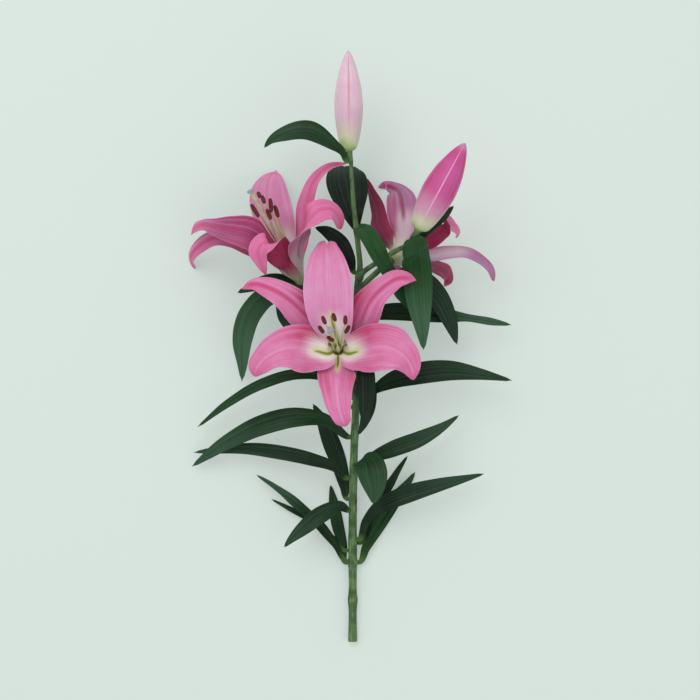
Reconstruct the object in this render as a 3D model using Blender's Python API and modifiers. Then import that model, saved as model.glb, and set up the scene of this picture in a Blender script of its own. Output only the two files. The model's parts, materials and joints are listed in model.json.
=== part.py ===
"""A cut oriental lily lying on a flat surface: one stem, its leaves, two buds and three open blooms.

+Z is up from the surface, +Y runs along the stem from its cut end to the top bud, and +X is
to the right of the stem seen from above. The design values below are in millimetres, measured
from the middle of the cut end. The finished object's origin is the bottom centre of its box.
"""

import math

import bmesh
import bpy
import numpy as np
from mathutils import Vector

MM = 0.001
ORIGIN = np.array([1.0, 329.5, 0.0])  # bottom centre of the whole object, in design values
COLLECTION = "cut_lily"

SEAT_GAP = 0.35  # between a leaf, petal or bud and what carries it
PETAL_SPACE = 0.46  # half of the space between two petals in a funnel
LEAF_THICKNESS = 0.8
PETAL_THICKNESS = 0.9
BLADE_COLUMNS = 5
LEAF_ROWS = 9
PETAL_ROWS = 14
TANGENT_STEPS = 8  # finer steps between two rows, from which their directions are taken
TUBE_SIDES = 10  # of the stem and the flower stalks
FILAMENT_SIDES = 6

# Stem and stalks: x, y, z and radius along each one.
STEM = (
    (3, 0, 5.0, 5.2), (3, 40, 6.4, 5.0), (3, 47, 6.7, 5.7), (3, 54, 7.2, 4.9), (3, 86, 9, 4.8),
    (3, 139, 15, 4.6), (4, 195, 22, 4.5), (5, 229, 27, 4.4), (7, 274, 34, 4.3), (8, 330, 43, 4.1),
    (8, 374, 51, 3.9), (9, 402, 57, 4.4), (11, 423, 61, 3.2), (9, 445, 65, 3.0), (7, 464, 68, 3.0),
    (4, 489, 72, 2.5), (2, 516, 76, 2.2), (1, 534, 79, 2.2), (-1, 546, 80, 3.6),
)
FRONT_STALK = ((7, 276, 34, 3.6), (3, 290, 40, 3.2), (-6, 308, 44, 3.2))
LEFT_STALK = ((8, 350, 47, 3.6), (-8, 361, 50, 3.2), (-32, 378, 46, 3.2))
RIGHT_STALK = ((9, 396, 56, 3.6), (18, 405, 67, 3.2), (29, 415, 80, 3.2))
BUD_STALK = ((10, 410, 59, 3.4), (16, 417, 73, 3.0), (28, 425, 84, 2.8), (46, 436, 98, 2.8))
NECK = ((9.0, 3.2), (3.5, 4.6), (0.0, 5.4))  # below a bloom's base: distance and radius
BUD_NECK = ((9.0, 3.0), (4.0, 3.4), (0.0, 4.4))
LEAF_SCARS = ((47, 90, 2.2), (47, 0, 1.6), (47, 200, 1.6), (402, 20, 2.6), (300, 215, 1.8))

# Buds: base, tip and greatest radius.
BUDS = {
    "bud_top": ((-1, 546, 80), (-2, 659, 86), 15.6),
    "bud_right": ((76, 458.5, 129), (124, 552, 146), 18.0),
}
BUD_PROFILE = ((0.0, 0.27), (0.05, 0.55), (0.14, 0.78), (0.28, 0.94), (0.44, 1.0), (0.6, 0.92),
               (0.76, 0.7), (0.88, 0.45), (0.96, 0.22), (1.0, 0.06))

# Leaves: where each root sits on its stalk (stalk, y, degrees round it from +X towards +Z), the
# way its face looks at the root and at the tip, then x, y, z, half width and cup along it.
LEAVES = {
    "leaf_top_left": ("stem", 528, 150, (0, 0.2, 1), (0, 0.4, 1), (
        (-19, 552, 86, 6, 0.2), (-46, 570, 88, 11.5, 0.2), (-72, 567, 84, 9, 0.2),
        (-88, 560, 78, 4, 0.2), (-95, 553, 73, 1, 0))),
    "leaf_behind_top": ("stem", 462, 270, (0, 0.5, 1), (0, 1, 0.2), (
        (3, 481, 60, 12, 0.15), (-1, 501, 50, 21, 0.1), (-4, 519, 36, 23, 0.1),
        (-6, 533, 18, 17, 0), (-6, 538, 6, 9, 0), (-5, 533, -0.5, 3, 0))),
    "leaf_behind_left": ("stem", 414, 220, (0, 0.2, 1), (0, 0.2, 1), (
        (0, 432, 55, 6, 0.15), (-11, 449, 52, 9, 0.15), (-26, 462, 46, 6.5, 0.1),
        (-39, 467, 42, 1.2, 0))),
    "leaf_front_right": ("stem", 460, 90, (0.3, 0.6, 1), (0.2, 0, 1), (
        (12, 464, 88, 9, 0.15), (22, 451, 105, 11.5, 0.15), (31, 434, 109, 10.5, 0.12),
        (37.5, 423, 99.5, 9, 0.1), (44, 412, 87, 9.5, 0.1), (52, 399, 83, 8, 0.1),
        (59, 386, 80, 5, 0.1), (66, 373, 77, 1.2, 0))),
    "leaf_bud_bract": ("bud_stalk", 447, 90, (0, 0.8, 0.8), (0, 0, 1), (
        (69, 446.5, 131.5, 7, 0.1), (70, 441, 127, 11.5, 0.05), (71.5, 429, 108, 15.5, 0),
        (73, 417, 95, 16.5, 0), (74.5, 401, 91.5, 16, 0), (76, 382, 90, 14, 0.05),
        (79, 354, 86, 8, 0.1), (81, 330, 80, 1.5, 0))),
    "leaf_bud_back": ("bud_stalk", 447, 292, (0, 0, 1), (0, 0, 1), (
        (91, 466, 109, 4.5, 0.1), (102, 476, 106, 5, 0.1), (113, 487, 104, 1, 0))),
    "leaf_right_hanging": ("stem", 388, 50, (0, 0.5, 1), (0.6, 0, 1), (
        (24, 391, 62, 5.5, 0.15), (41, 401, 71, 9, 0.15), (59, 409, 73, 11.5, 0.1),
        (79, 405, 73, 13, 0.1), (97, 388, 66, 13, 0.1), (111, 362, 52, 10, 0.1),
        (120, 336, 38, 1.5, 0))),
    "leaf_right_level": ("stem", 366, 20, (0, 0.4, 1), (0, -0.5, 1), (
        (33, 371, 56, 8, 0.15), (69, 372, 54, 10, 0.15), (102, 369, 48, 8.5, 0.1),
        (132, 366, 42, 4.5, 0.1), (157, 362, 38, 4.5, 0.1), (181, 358, 34, 1.2, 0))),
    "leaf_left_hanging": ("stem", 345, 120, (0, 0.3, 1), (-0.3, 0, 1), (
        (-22, 372, 66, 7, 0.15), (-55, 391, 73, 10, 0.15), (-86, 392, 70, 12, 0.15),
        (-109, 372, 56, 13, 0.15), (-120, 341, 38, 11.5, 0.15), (-121, 313, 24, 6, 0.1),
        (-122, 294, 16, 1.2, 0))),
    "leaf_left_bract": ("left_stalk", 378, 215, (0, 0.3, 1), (0, 0.3, 1), (
        (-50, 390, 42, 7, 0.15), (-70, 403, 45, 9.5, 0.15), (-91, 406, 45, 9, 0.15),
        (-111, 400, 42, 5.5, 0.1), (-126, 394, 38, 1.2, 0))),
    "leaf_left_under": ("stem", 322, 200, (0, 0, 1), (0, 0, 1), (
        (-22, 336, 38, 7, 0.15), (-56, 352, 33, 9.5, 0.15), (-74, 368, 28, 7.5, 0.1),
        (-83, 382, 25, 1.2, 0))),
    "leaf_left_narrow": ("stem", 266, 165, (0, 0, 1), (0, 0.2, 1), (
        (-28, 299, 44, 4.5, 0.2), (-58, 303, 48, 6, 0.2), (-98, 292, 46, 6, 0.2),
        (-137, 270, 34, 4.5, 0.2), (-172, 243, 18, 1, 0))),
    "leaf_middle_front": ("stem", 300, 60, (0, 1, 0.8), (0, 0, 1), (
        (12, 316, 58, 6.5, 0.15), (17, 306, 70, 9.5, 0.12), (18, 284, 70, 9.5, 0.12),
        (17, 261, 65, 6.5, 0.1), (16, 242, 60, 1.2, 0))),
    "leaf_middle_back": ("stem", 305, 350, (0, 0.6, 1), (0, 0, 1), (
        (18, 303, 44, 6, 0.15), (21, 285, 48, 8.5, 0.15), (20, 265, 46, 8, 0.1),
        (15, 247, 42, 4.5, 0.1), (9, 235, 39, 1.2, 0))),
    "leaf_right_long": ("stem", 266, 20, (0, 0, 1), (0, 0.2, 1), (
        (25, 283, 44, 4, 0.2), (42, 294, 50, 8.5, 0.2), (72, 303, 56, 12, 0.18),
        (109, 307, 56, 11.5, 0.15), (145, 303, 50, 6.5, 0.15), (181, 296, 42, 1.2, 0))),
    "leaf_left_long": ("stem", 234, 130, (0, 0, 1), (0, 0.3, 1), (
        (-28, 252, 44, 7, 0.2), (-61, 255, 52, 11, 0.18), (-98, 246, 48, 11.5, 0.18),
        (-137, 227, 32, 8.5, 0.15), (-164, 209, 16, 4.5, 0.1), (-179, 198, 9, 1.2, 0))),
    "leaf_right_raised": ("stem", 196, 30, (0, 0, 1), (0, 0.2, 1), (
        (22, 207, 32, 5, 0.2), (47, 219, 40, 9, 0.18), (76, 230, 44, 9, 0.15),
        (103, 244, 42, 5, 0.1), (122, 257, 38, 1, 0))),
    "leaf_front_broad": ("stem", 202, 80, (0, 1, 0.5), (0, -0.2, 1), (
        (10, 205, 44, 8, 0.1), (21, 206, 56, 14, 0.08), (25, 193, 64, 16.5, 0.08),
        (27, 175, 64, 11, 0.08), (26, 159, 60, 1.5, 0))),
    "leaf_left_middle": ("stem", 186, 150, (0, 0, 1), (0, 0.3, 1), (
        (-17, 198, 30, 5, 0.2), (-45, 208, 36, 7.5, 0.2), (-78, 215, 34, 8, 0.2),
        (-118, 219, 25, 6.5, 0.15), (-152, 217, 15, 4, 0.1), (-177, 214, 9, 1, 0))),
    "leaf_resting": ("stem", 160, 215, (0, 0, 1), (0, 0, 1), (
        (-6, 176, 8, 6, 0.1), (-12, 200, 2, 9, 0), (-22, 227, 0.4, 10, 0),
        (-31, 249, 0.4, 7, 0), (-42, 269, 0.4, 1.2, 0))),
    "leaf_front_left": ("stem", 150, 120, (0, 0, 1), (-0.2, 0, 1), (
        (-11, 155, 34, 6, 0.15), (-31, 147, 42, 9.5, 0.15), (-52, 131, 42, 8, 0.12),
        (-65, 119, 38, 4.5, 0.1), (-74, 109, 34, 1, 0))),
    "leaf_low_right": ("stem", 118, 40, (0, 0, 1), (0, 0.2, 1), (
        (18, 137, 26, 5, 0.2), (36, 156, 34, 8.5, 0.18), (65, 169, 38, 10, 0.15),
        (96, 178, 36, 8, 0.15), (126, 185, 30, 4.5, 0.1), (151, 191, 26, 1, 0))),
    "leaf_low_right_edge": ("stem", 112, 350, (-0.5, 0.5, 0.8), (-0.5, 0.5, 0.8), (
        (25, 144, 18, 5, 0.2), (45, 178, 20, 6, 0.2), (56, 197, 20, 4, 0.1), (65, 211, 20, 1, 0))),
    "leaf_low_left_edge": ("stem", 92, 150, (0.5, 0.5, 0.8), (0.5, 0.5, 0.8), (
        (-17, 110, 14, 5, 0.2), (-39, 136, 16, 7, 0.2), (-68, 162, 15, 6, 0.2),
        (-90, 179, 13, 3.5, 0.1), (-106, 189, 12, 1, 0))),
    "leaf_low_left_sliver": ("stem", 104, 190, (0.4, 0.4, 0.8), (0.4, 0.4, 0.8), (
        (-20, 118, 8, 3, 0.2), (-51, 141, 7, 4, 0.2), (-70, 151, 6, 3, 0.1),
        (-89, 161, 6, 0.9, 0))),
    "leaf_lowest_right": ("stem", 88, 335, (0, 0, 1), (0, 0, 1), (
        (18, 106, 7, 5, 0.15), (34, 134, 5, 8, 0.1), (52, 162, 4, 7.5, 0.1),
        (66, 180, 4, 4, 0.1), (74, 192, 4, 1, 0))),
    "leaf_lowest_left": ("stem", 90, 205, (0, 0, 1), (0, 0, 1), (
        (-8, 109, 6, 5, 0.1), (-14, 132, 3.5, 7, 0.1), (-18, 154, 3, 6, 0.1),
        (-22, 177, 3, 1.2, 0))),
}

# The funnel that the feet of a bloom's six petals share: height along the axis and radius.
LONG_FUNNEL = ((SEAT_GAP + 0.6, 4.2), (7.0, 6.2), (14.0, 9.4), (22.0, 13.4))
SHORT_FUNNEL = ((SEAT_GAP + 0.6, 4.2), (7.0, 5.6), (13.0, 6.6), (18.0, 7.6))
# Blooms: base, axis and the direction of zero degrees, then each petal's degrees round the axis
# with x, y, z, half width, cup and face direction along it beyond the funnel, then the funnel.
BLOOMS = {
    "front": ((-12.5, 325, 58), (-0.03, 0.3, 1.0), (0, 1, 0), {
        "up": (0, (
            (-14.7, 344.5, 83, 10, 0.3, 0, -0.5, 1), (-17.5, 353.5, 95, 16, 0.25, 0, -0.5, 1),
            (-20.5, 364, 103, 22.5, 0.15, 0, -0.4, 1), (-22.7, 378, 108, 26, 0.06, 0, -0.2, 1),
            (-23.8, 395, 110, 27.2, 0, 0, 0, 1), (-24.6, 412, 110, 25.2, -0.03, 0, 0.1, 1),
            (-25.3, 428, 107, 20.5, -0.03, 0, 0.2, 1), (-25.8, 441, 102, 15, -0.03, 0, 0.3, 1),
            (-26, 450, 97, 8, 0, 0, 0.4, 1))),
        "upper_right": (60, (
            (1, 340, 77, 8, 0.15, -0.4, -0.3, 1), (8, 352.5, 83, 15, 0.1, -0.2, -0.2, 1),
            (14, 367, 89, 18.5, 0.05, 0, 0, 1), (20, 380, 93, 17.5, 0, 0, 0, 1),
            (27.5, 390, 96.5, 14.5, 0, 0, 0, 1), (39.5, 400.5, 99.5, 12, 0, 0, 0, 1),
            (52, 407.8, 100.5, 10, 0, 0, 0, 1), (63, 408.3, 101.5, 6.5, 0, 0, 0, 1),
            (72.5, 406, 101, 1.5, 0, 0, 0, 1))),
        "lower_right": (120, (
            (-1.5, 324.5, 83, 11.5, 0.3, -0.3, 0.2, 1), (9, 326.8, 90.5, 20.5, 0.12, -0.3, 0, 1),
            (22, 331.5, 100, 26, 0.06, -0.2, 0, 1), (36, 333.5, 106, 25.5, 0, 0, 0, 1),
            (48, 330, 108.5, 24.5, 0, 0, 0, 1), (59, 323, 106, 18.5, -0.05, 0.2, 0, 1),
            (67, 311, 98, 12, -0.05, 0.3, -0.2, 1), (69.5, 297, 89, 3, 0, 0.2, -0.3, 1))),
        "down": (180, (
            (-13.2, 316.5, 76.2, 3.8, 0, 0, 0.3, 1), (-14.5, 306, 81.5, 18, 0.05, 0, 0.2, 1),
            (-15, 298, 86.5, 20.5, 0.03, 0, 0.1, 1), (-14.5, 286, 90.5, 17.5, 0, 0, 0, 1),
            (-12.5, 270, 94.5, 14.2, 0, 0, 0, 1), (-9.5, 258, 93, 10.7, 0, 0, -0.2, 1),
            (-6.5, 250, 89, 8, 0, 0, -0.4, 1), (-5, 246, 86, 5, 0, 0, -0.5, 1))),
        "lower_left": (240, (
            (-25, 324.5, 83, 11.5, 0.3, 0.3, 0.2, 1), (-36, 326.5, 89, 19.5, 0.08, 0.3, 0, 1),
            (-51, 331.5, 98.5, 26.5, 0.04, 0.2, 0, 1), (-68, 334, 107, 24.5, 0, 0, 0, 1),
            (-81, 331.5, 109, 22, 0, 0, 0, 1), (-93, 322, 105, 16, -0.05, -0.2, 0, 1),
            (-101.5, 311, 98, 11.5, -0.05, -0.3, -0.2, 1), (-105, 301, 90, 5, 0, -0.3, -0.3, 1))),
        "upper_left": (300, (
            (-27.5, 340, 77, 8, 0.12, 0.4, -0.3, 1), (-36, 352.5, 83, 15.5, 0.1, 0.2, -0.2, 1),
            (-46, 366, 89, 19, 0.05, 0, 0, 1), (-57, 377, 93, 18.5, 0, 0, 0, 1),
            (-68, 386.5, 96, 15.5, 0, 0, 0, 1), (-81, 394.5, 98, 13, 0, 0, 0, 1),
            (-93.5, 399.5, 97, 10.5, 0, -0.2, 0, 1), (-105, 402, 93, 6.5, 0, -0.3, 0, 1),
            (-119, 397, 86, 1.5, 0, -0.4, 0, 1))),
    }, SHORT_FUNNEL),
    "left": ((-54, 405, 52), (-0.429, 0.776, 0.462), (0, 0, 1), {
        "down": (-15, (
            (-69, 422, 80, 8.4, 0.3, -0.5, 0.7, 0.2), (-76, 435, 93, 16, 0.25, -0.5, 0.7, 0.1),
            (-84, 444, 104, 15, 0.1, -0.6, 0.6, 0.3), (-95, 446, 110, 12, 0, -0.5, 0.1, 0.8),
            (-100, 438, 107, 11, 0, -0.3, -0.3, 0.8), (-97, 425, 98, 7, 0, -0.1, -0.5, 0.8),
            (-92, 412, 89, 1.5, 0, 0, -0.5, 0.8))),
        "right": (45, (
            (-57, 435, 81, 9.8, 0.27, -0.7, 0.5, 0.2), (-54, 450, 95, 19, 0.15, -0.7, 0.4, 0.1),
            (-46, 467, 106, 17, 0, -0.6, 0.4, 0.5), (-34, 481, 110, 13, 0, 0, 0.4, 0.9),
            (-21, 484, 102, 11, 0, 0.4, 0.5, 0.7), (-13, 475, 90, 7.5, 0, 0.8, 0.2, 0.6),
            (-12, 464, 82, 2, 0, 0.8, 0, 0.6))),
        "upper_right": (105, (
            (-51, 445, 62, 11, 0.3, -0.8, 0, 0.5), (-50, 471, 68, 13, 0.2, -0.7, 0, 0.7),
            (-47, 496, 70, 10, 0.2, -0.5, 0, 0.8), (-39, 518, 66, 7.5, 0.2, -0.3, 0.3, 0.8),
            (-22, 534, 58, 4.5, 0.1, 0, 0.5, 0.8), (-3, 538, 50, 1.5, 0, 0.2, 0.5, 0.8))),
        "up": (165, (
            (-70, 444, 57, 10.5, 0.3, 0, -0.2, 1), (-80, 468, 62, 20, 0.1, 0, 0, 1),
            (-88, 491, 58, 23, 0, 0, 0.4, 1), (-90, 509, 44, 20.5, 0, 0, 0.7, 0.7),
            (-89, 522, 25, 14.5, 0, 0, 1, 0.5), (-85, 532, 6, 5, 0, 0, 1, 0.4))),
        "lower_left": (225, (
            (-87, 435, 52, 9.5, 0.3, 0.2, 0.3, 1), (-110, 447, 58, 13, 0.1, 0, 0.1, 1),
            (-131, 454, 58, 10.5, 0.05, -0.1, 0, 1), (-150, 455, 52, 9, 0, -0.4, 0.1, 1),
            (-164, 448, 38, 8, 0, -0.8, 0, 0.6), (-174, 435, 17, 6, 0, -1, -0.1, 0.5),
            (-172, 424, -1, 2.5, 0, -0.6, -0.4, 0.8))),
        "left": (285, (
            (-84, 430, 74, 9, 0.3, 0.4, 0.5, 0.8), (-95, 447, 86, 15, 0.2, 0.1, 0.4, 1),
            (-111, 458, 92, 18, 0.15, -0.1, 0.2, 1),
            (-129, 462, 92, 15, 0.1, -0.1, 0, 1), (-148, 465, 84, 10, 0.1, -0.3, 0, 1),
            (-162, 468, 70, 6, 0.1, -0.6, 0, 0.7), (-172, 465, 58, 5, 0, -0.8, 0, 0.6),
            (-177, 458, 50, 1.5, 0, -0.8, 0, 0.6))),
    }, LONG_FUNNEL),
    "right": ((44, 428, 80), (0.52, 0.38, -0.765), (0, 0, 1), {
        "upper": (-52, (
            (59, 474, 62, 17, 0.1, 0.1, -0.7, -0.6), (58, 493, 46, 17.5, 0, 0, -0.6, -0.8),
            (56, 506, 26, 14, 0, 0, -0.8, -0.6), (50, 513, 8, 8, 0, 0.2, -0.3, -0.9),
            (41, 517, -0.5, 5, 0, 0, 0, -1), (32, 514, 9, 2.5, 0, -0.5, 0, -0.8))),
        "viewer": (8, (
            (82, 453, 84, 15, 0.15, 0.5, 0.4, -0.8), (99, 463, 88, 14, 0.05, 0.5, 0.2, -0.8),
            (111, 469, 82, 10, 0, 0.8, 0.3, 0.4), (118, 467, 72, 5.5, 0, 0.8, 0, 0.5),
            (123, 461, 63, 4, 0, 0.8, 0, 0.5), (118, 453, 58, 2, 0, 0.6, -0.5, 0.6))),
        "right": (68, (
            (91, 435, 67, 8.0, 0.15, 0, 0.4, -0.9), (111, 438, 66, 7.5, 0.1, 0, 0.3, -0.9),
            (129, 438, 62, 6.5, 0.1, 0, 0.3, -0.9), (145, 431, 55, 5.5, 0.1, -0.2, 0, -0.9),
            (157, 420, 46, 4.5, 0.1, -0.3, 0, -0.9), (161, 407, 38, 3, 0, -0.3, 0, -0.9))),
        "lower_right": (128, (
            (79, 428, 42, 8.5, 0.1, 0.3, 0.7, -0.6), (96, 424, 27, 10, 0, 0, 0.7, -0.7),
            (108, 418, 13, 8, 0, -0.3, 0.4, -0.8), (112, 410, 3, 5.5, 0, -0.3, 0, -0.9),
            (107, 402, -1, 2.5, 0, 0, 0, -1))),
        "lower": (188, (
            (52, 422, 37, 11.5, 0.1, 0.6, 0.7, -0.3), (55, 411, 24, 16, 0, 0.1, 0.8, -0.5),
            (58, 400, 11, 12, 0, 0, 0.6, -0.8), (59, 390, 2, 7, 0, 0, 0.2, -0.9),
            (59, 383, -1, 2.5, 0, 0, 0, -1))),
        "upper_left": (248, (
            (31, 469, 49, 11, 0.15, 0.7, -0.2, -0.6), (29, 488, 38, 8.5, 0.1, 0.6, 0, -0.8),
            (24, 507, 26, 6, 0.1, 0.5, 0.2, -0.8), (18, 520, 17, 4, 0.1, 0.5, 0.4, -0.7),
            (11, 527, 12, 1.5, 0, 0.4, 0.5, -0.7))),
    }, LONG_FUNNEL),
}
# Stamens: the middle of each anther and its lie, and the stigma at the end of the style.
PISTILS = {
    "front": ((
        (-28, 362, 136, 0.4, -0.9, 1.7), (-17, 365, 140, 0.3, -0.9, 1.7),
        (-5, 362, 136, 0, -1, 1.6), (-31, 352, 128, 0.6, -0.8, 1.7),
        (-3, 352, 128, -0.5, -0.9, 1.7), (-21, 342, 120, 0.7, -0.5, 1.7)), (-21, 351, 150)),
    "left": ((
        (-103, 481, 118, 0.52, -0.85, 0), (-94, 493, 117, 0.35, -0.9, 1.5),
        (-86, 487, 112, 0.1, -1, 0.3), (-99, 499, 104, 0.3, -0.6, 1.6),
        (-80, 481, 104, 0.3, -0.9, 0.6), (-88, 477, 116, 0.4, -0.9, 0.9)), (-107, 501, 124)),
    "right": ((
        (82, 440, 36, 0.6, 0.3, -0.7), (90, 452, 32, 0.6, 0.3, -0.7),
        (84, 466, 30, 0.6, 0.3, -0.7), (72, 470, 34, 0.6, 0.3, -0.7),
        (66, 458, 38, 0.6, 0.3, -0.7), (72, 445, 34, 0.6, 0.3, -0.7)), (84, 456, 22)),
}
ANTHER_HALF_LENGTH = 9.0
ANTHER_RADIUS = 2.3
FILAMENT_RADIUS = 0.85
STYLE_RADIUS = 1.6
OVARY_RADIUS = 2.0
OVARY_LENGTH = 26.0
STIGMA_RADIUS = 3.9
PISTIL_BASE_RADIUS = 3.0

COLOURS = {  # linear base colour, roughness, metallic
    "stem": ((0.09, 0.18, 0.07), 0.5, 0.0),
    "leaf": ((0.015, 0.06, 0.02), 0.4, 0.0),
    "petal": ((0.66, 0.22, 0.45), 0.55, 0.0),
    "bud": ((0.6, 0.33, 0.45), 0.5, 0.0),
    "stamen": ((0.35, 0.38, 0.14), 0.6, 0.0),
}


def clear_scene():
    for thing in list(bpy.data.objects):
        bpy.data.objects.remove(thing, do_unlink=True)


def make_material(name):
    colour, roughness, metallic = COLOURS[name]
    material = bpy.data.materials.new(name)
    material.use_nodes = True
    shader = material.node_tree.nodes["Principled BSDF"]
    shader.inputs["Base Color"].default_value = (*colour, 1.0)
    shader.inputs["Roughness"].default_value = roughness
    shader.inputs["Metallic"].default_value = metallic
    return material


def unit(vectors):
    return vectors / np.linalg.norm(vectors, axis=-1, keepdims=True)


def spline(points, count):
    """A smooth curve through the points (Catmull-Rom by chord length), as count even steps."""
    points = np.asarray(points, float)
    steps = np.linalg.norm(np.diff(points[:, :3], axis=0), axis=1)
    knots = np.concatenate([[0.0], np.cumsum(np.maximum(steps, 0.5))])
    slopes = np.gradient(points, knots, axis=0)
    at = np.linspace(0.0, knots[-1], count)
    i = np.clip(np.searchsorted(knots, at, side="right") - 1, 0, len(knots) - 2)
    span = (knots[i + 1] - knots[i])[:, None]
    s = (at - knots[i])[:, None] / span
    return (
        (2 * s**3 - 3 * s**2 + 1) * points[i] + (s**3 - 2 * s**2 + s) * span * slopes[i]
        + (3 * s**2 - 2 * s**3) * points[i + 1] + (s**3 - s**2) * span * slopes[i + 1]
    )


def blade_grid(rows, row_count, column_count, thickness):
    """Points of a blade: rows hold x, y, z, half width, cup and the face's direction.

    Across the blade u runs from -1 to 1. A point is the midrib's, plus the half width times u
    along the side direction, plus the half width times cup times u squared along the face.
    What would pass below the surface that the lily lies on is pressed flat on it.
    """
    fine = spline(rows, (row_count - 1) * TANGENT_STEPS + 1)
    along = unit(np.gradient(fine[:, :3], axis=0))[::TANGENT_STEPS]
    fine = fine[::TANGENT_STEPS]
    middle, width, cup, face = fine[:, :3], fine[:, 3:4], fine[:, 4:5], fine[:, 5:8]
    side = unit(np.cross(along, face))
    normal = np.cross(side, along)
    u = np.linspace(-1.0, 1.0, column_count)[None, :, None]
    grid = (
        middle[:, None] + side[:, None] * (width[:, None] * u)
        + normal[:, None] * (width * cup)[:, None] * u**2
    )
    grid[..., 2] = np.maximum(grid[..., 2], thickness / 2)
    return grid


def grid_faces(row_count, column_count):
    """Triangles of a grid, with the diagonals mirrored about the middle column."""
    r, c = np.meshgrid(np.arange(row_count - 1), np.arange(column_count - 1), indexing="ij")
    a = (r * column_count + c).ravel()
    b, d, e = a + 1, a + column_count, a + column_count + 1
    left = (c.ravel() < (column_count - 1) / 2)[:, None]
    first = np.where(left, np.stack([a, b, e], 1), np.stack([a, b, d], 1))
    second = np.where(left, np.stack([a, e, d], 1), np.stack([b, e, d], 1))
    return np.concatenate([first, second])


def to_world(points):
    return (np.asarray(points, float) - ORIGIN) * MM


def new_object(name, points, faces, collection, material):
    mesh = bpy.data.meshes.new(name)
    mesh.from_pydata(to_world(points).tolist(), [], [[int(i) for i in face] for face in faces])
    mesh.update()
    mesh.shade_smooth()
    mesh.materials.append(material)
    thing = bpy.data.objects.new(name, mesh)
    collection.objects.link(thing)
    return thing


def make_blade(name, rows, row_count, thickness, collection, material):
    grid = blade_grid(rows, row_count, BLADE_COLUMNS, thickness)
    faces = grid_faces(row_count, BLADE_COLUMNS)
    thing = new_object(name, grid.reshape(-1, 3), faces, collection, material)
    shell = thing.modifiers.new("thickness", "SOLIDIFY")
    shell.thickness = thickness * MM
    shell.offset = 0.0
    return thing


def tube_mesh(name, route, sides, collection, material):
    """A tube along a route of x, y, z and radius, from a curve object, with its caps welded on."""
    curve = bpy.data.curves.new(name, "CURVE")
    curve.dimensions = "3D"
    curve.bevel_depth = MM
    curve.bevel_resolution = sides // 2 - 2
    curve.use_fill_caps = True
    strand = curve.splines.new("POLY")
    strand.points.add(len(route) - 1)
    for point, values in zip(strand.points, route):
        point.co = (*to_world(values[:3]), 1.0)
        point.radius = values[3]
    source = bpy.data.objects.new(name, curve)
    collection.objects.link(source)
    bpy.context.view_layer.update()
    graph = bpy.context.evaluated_depsgraph_get()
    mesh = bpy.data.meshes.new_from_object(source.evaluated_get(graph))
    place = source.matrix_world.copy()
    bpy.data.objects.remove(source, do_unlink=True)
    shape = bmesh.new()
    shape.from_mesh(mesh)
    bmesh.ops.remove_doubles(shape, verts=shape.verts, dist=0.00001)
    bmesh.ops.recalc_face_normals(shape, faces=shape.faces)
    shape.to_mesh(mesh)
    shape.free()
    mesh.materials.clear()
    mesh.materials.append(material)
    thing = bpy.data.objects.new(name, mesh)
    thing.matrix_world = place
    collection.objects.link(thing)
    return thing


def ball(name, centre, radii, direction, segments, collection, material):
    """An ellipsoid with its long half length, radii[1], along direction."""
    shape = bmesh.new()
    bmesh.ops.create_uvsphere(shape, u_segments=segments, v_segments=segments - 1, radius=1.0)
    turn = Vector(direction).to_track_quat("Z", "Y").to_matrix().to_4x4()
    bmesh.ops.scale(shape, vec=(radii[0] * MM, radii[0] * MM, radii[1] * MM), verts=shape.verts)
    bmesh.ops.transform(shape, matrix=turn, verts=shape.verts)
    bmesh.ops.translate(shape, vec=Vector(to_world(centre)), verts=shape.verts)
    mesh = bpy.data.meshes.new(name)
    shape.to_mesh(mesh)
    shape.free()
    mesh.materials.append(material)
    thing = bpy.data.objects.new(name, mesh)
    collection.objects.link(thing)
    return thing


def fuse(name, pieces, collection):
    """Joins the pieces into the first one with one Boolean union, and names it."""
    whole, rest = pieces[0], pieces[1:]
    tools = bpy.data.collections.new(name + "_pieces")
    bpy.context.scene.collection.children.link(tools)
    for piece in rest:
        collection.objects.unlink(piece)
        tools.objects.link(piece)
    union = whole.modifiers.new("union", "BOOLEAN")
    union.operation = "UNION"
    union.operand_type = "COLLECTION"
    union.solver = "EXACT"
    union.collection = tools
    bpy.context.view_layer.update()
    graph = bpy.context.evaluated_depsgraph_get()
    mesh = bpy.data.meshes.new_from_object(whole.evaluated_get(graph))
    whole.modifiers.clear()
    whole.data = mesh
    whole.name = name
    mesh.name = name
    for piece in rest:
        bpy.data.objects.remove(piece, do_unlink=True)
    bpy.data.collections.remove(tools)
    mesh.shade_smooth()
    return whole


def route_at(route, y, degrees, extra):
    """Where a stalk's route passes y: its middle, the way out from it, and the point outside it."""
    fine = spline(route, 200)
    i = int(np.argmin(np.abs(fine[:, 1] - y)))
    along = unit(fine[min(i + 1, 199), :3] - fine[i - 1, :3])
    right = unit(np.cross(along, (0.0, 0.0, 1.0)))
    above = np.cross(right, along)
    angle = math.radians(degrees)
    out = math.cos(angle) * right + math.sin(angle) * above
    return fine[i, :3], out, fine[i, :3] + out * (fine[i, 3] + extra)


def make_stem(collection, material, stalks):
    """The stem with its four flower stalks and the scars of fallen leaves, grown as one piece."""
    counts = {"stem": 30, "front_stalk": 11, "left_stalk": 12, "right_stalk": 12, "bud_stalk": 14}
    pieces = []
    for name, route in stalks.items():
        pieces.append(tube_mesh(name, spline(route, counts[name]), TUBE_SIDES, collection, material))
    for number, (y, degrees, size) in enumerate(LEAF_SCARS):
        _, out, point = route_at(STEM, y, degrees, -0.6)
        pieces.append(ball(f"scar_{number}", point, (size, size * 0.7), out, 8, collection, material))
    return fuse("stem", pieces, collection)


def with_neck(route, base, axis, neck):
    """A stalk's route that ends straight along the axis of the bloom or bud on it."""
    base, axis = np.array(base, float), unit(np.array(axis, float))
    return route + tuple((*(base - axis * back), radius) for back, radius in neck)


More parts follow.
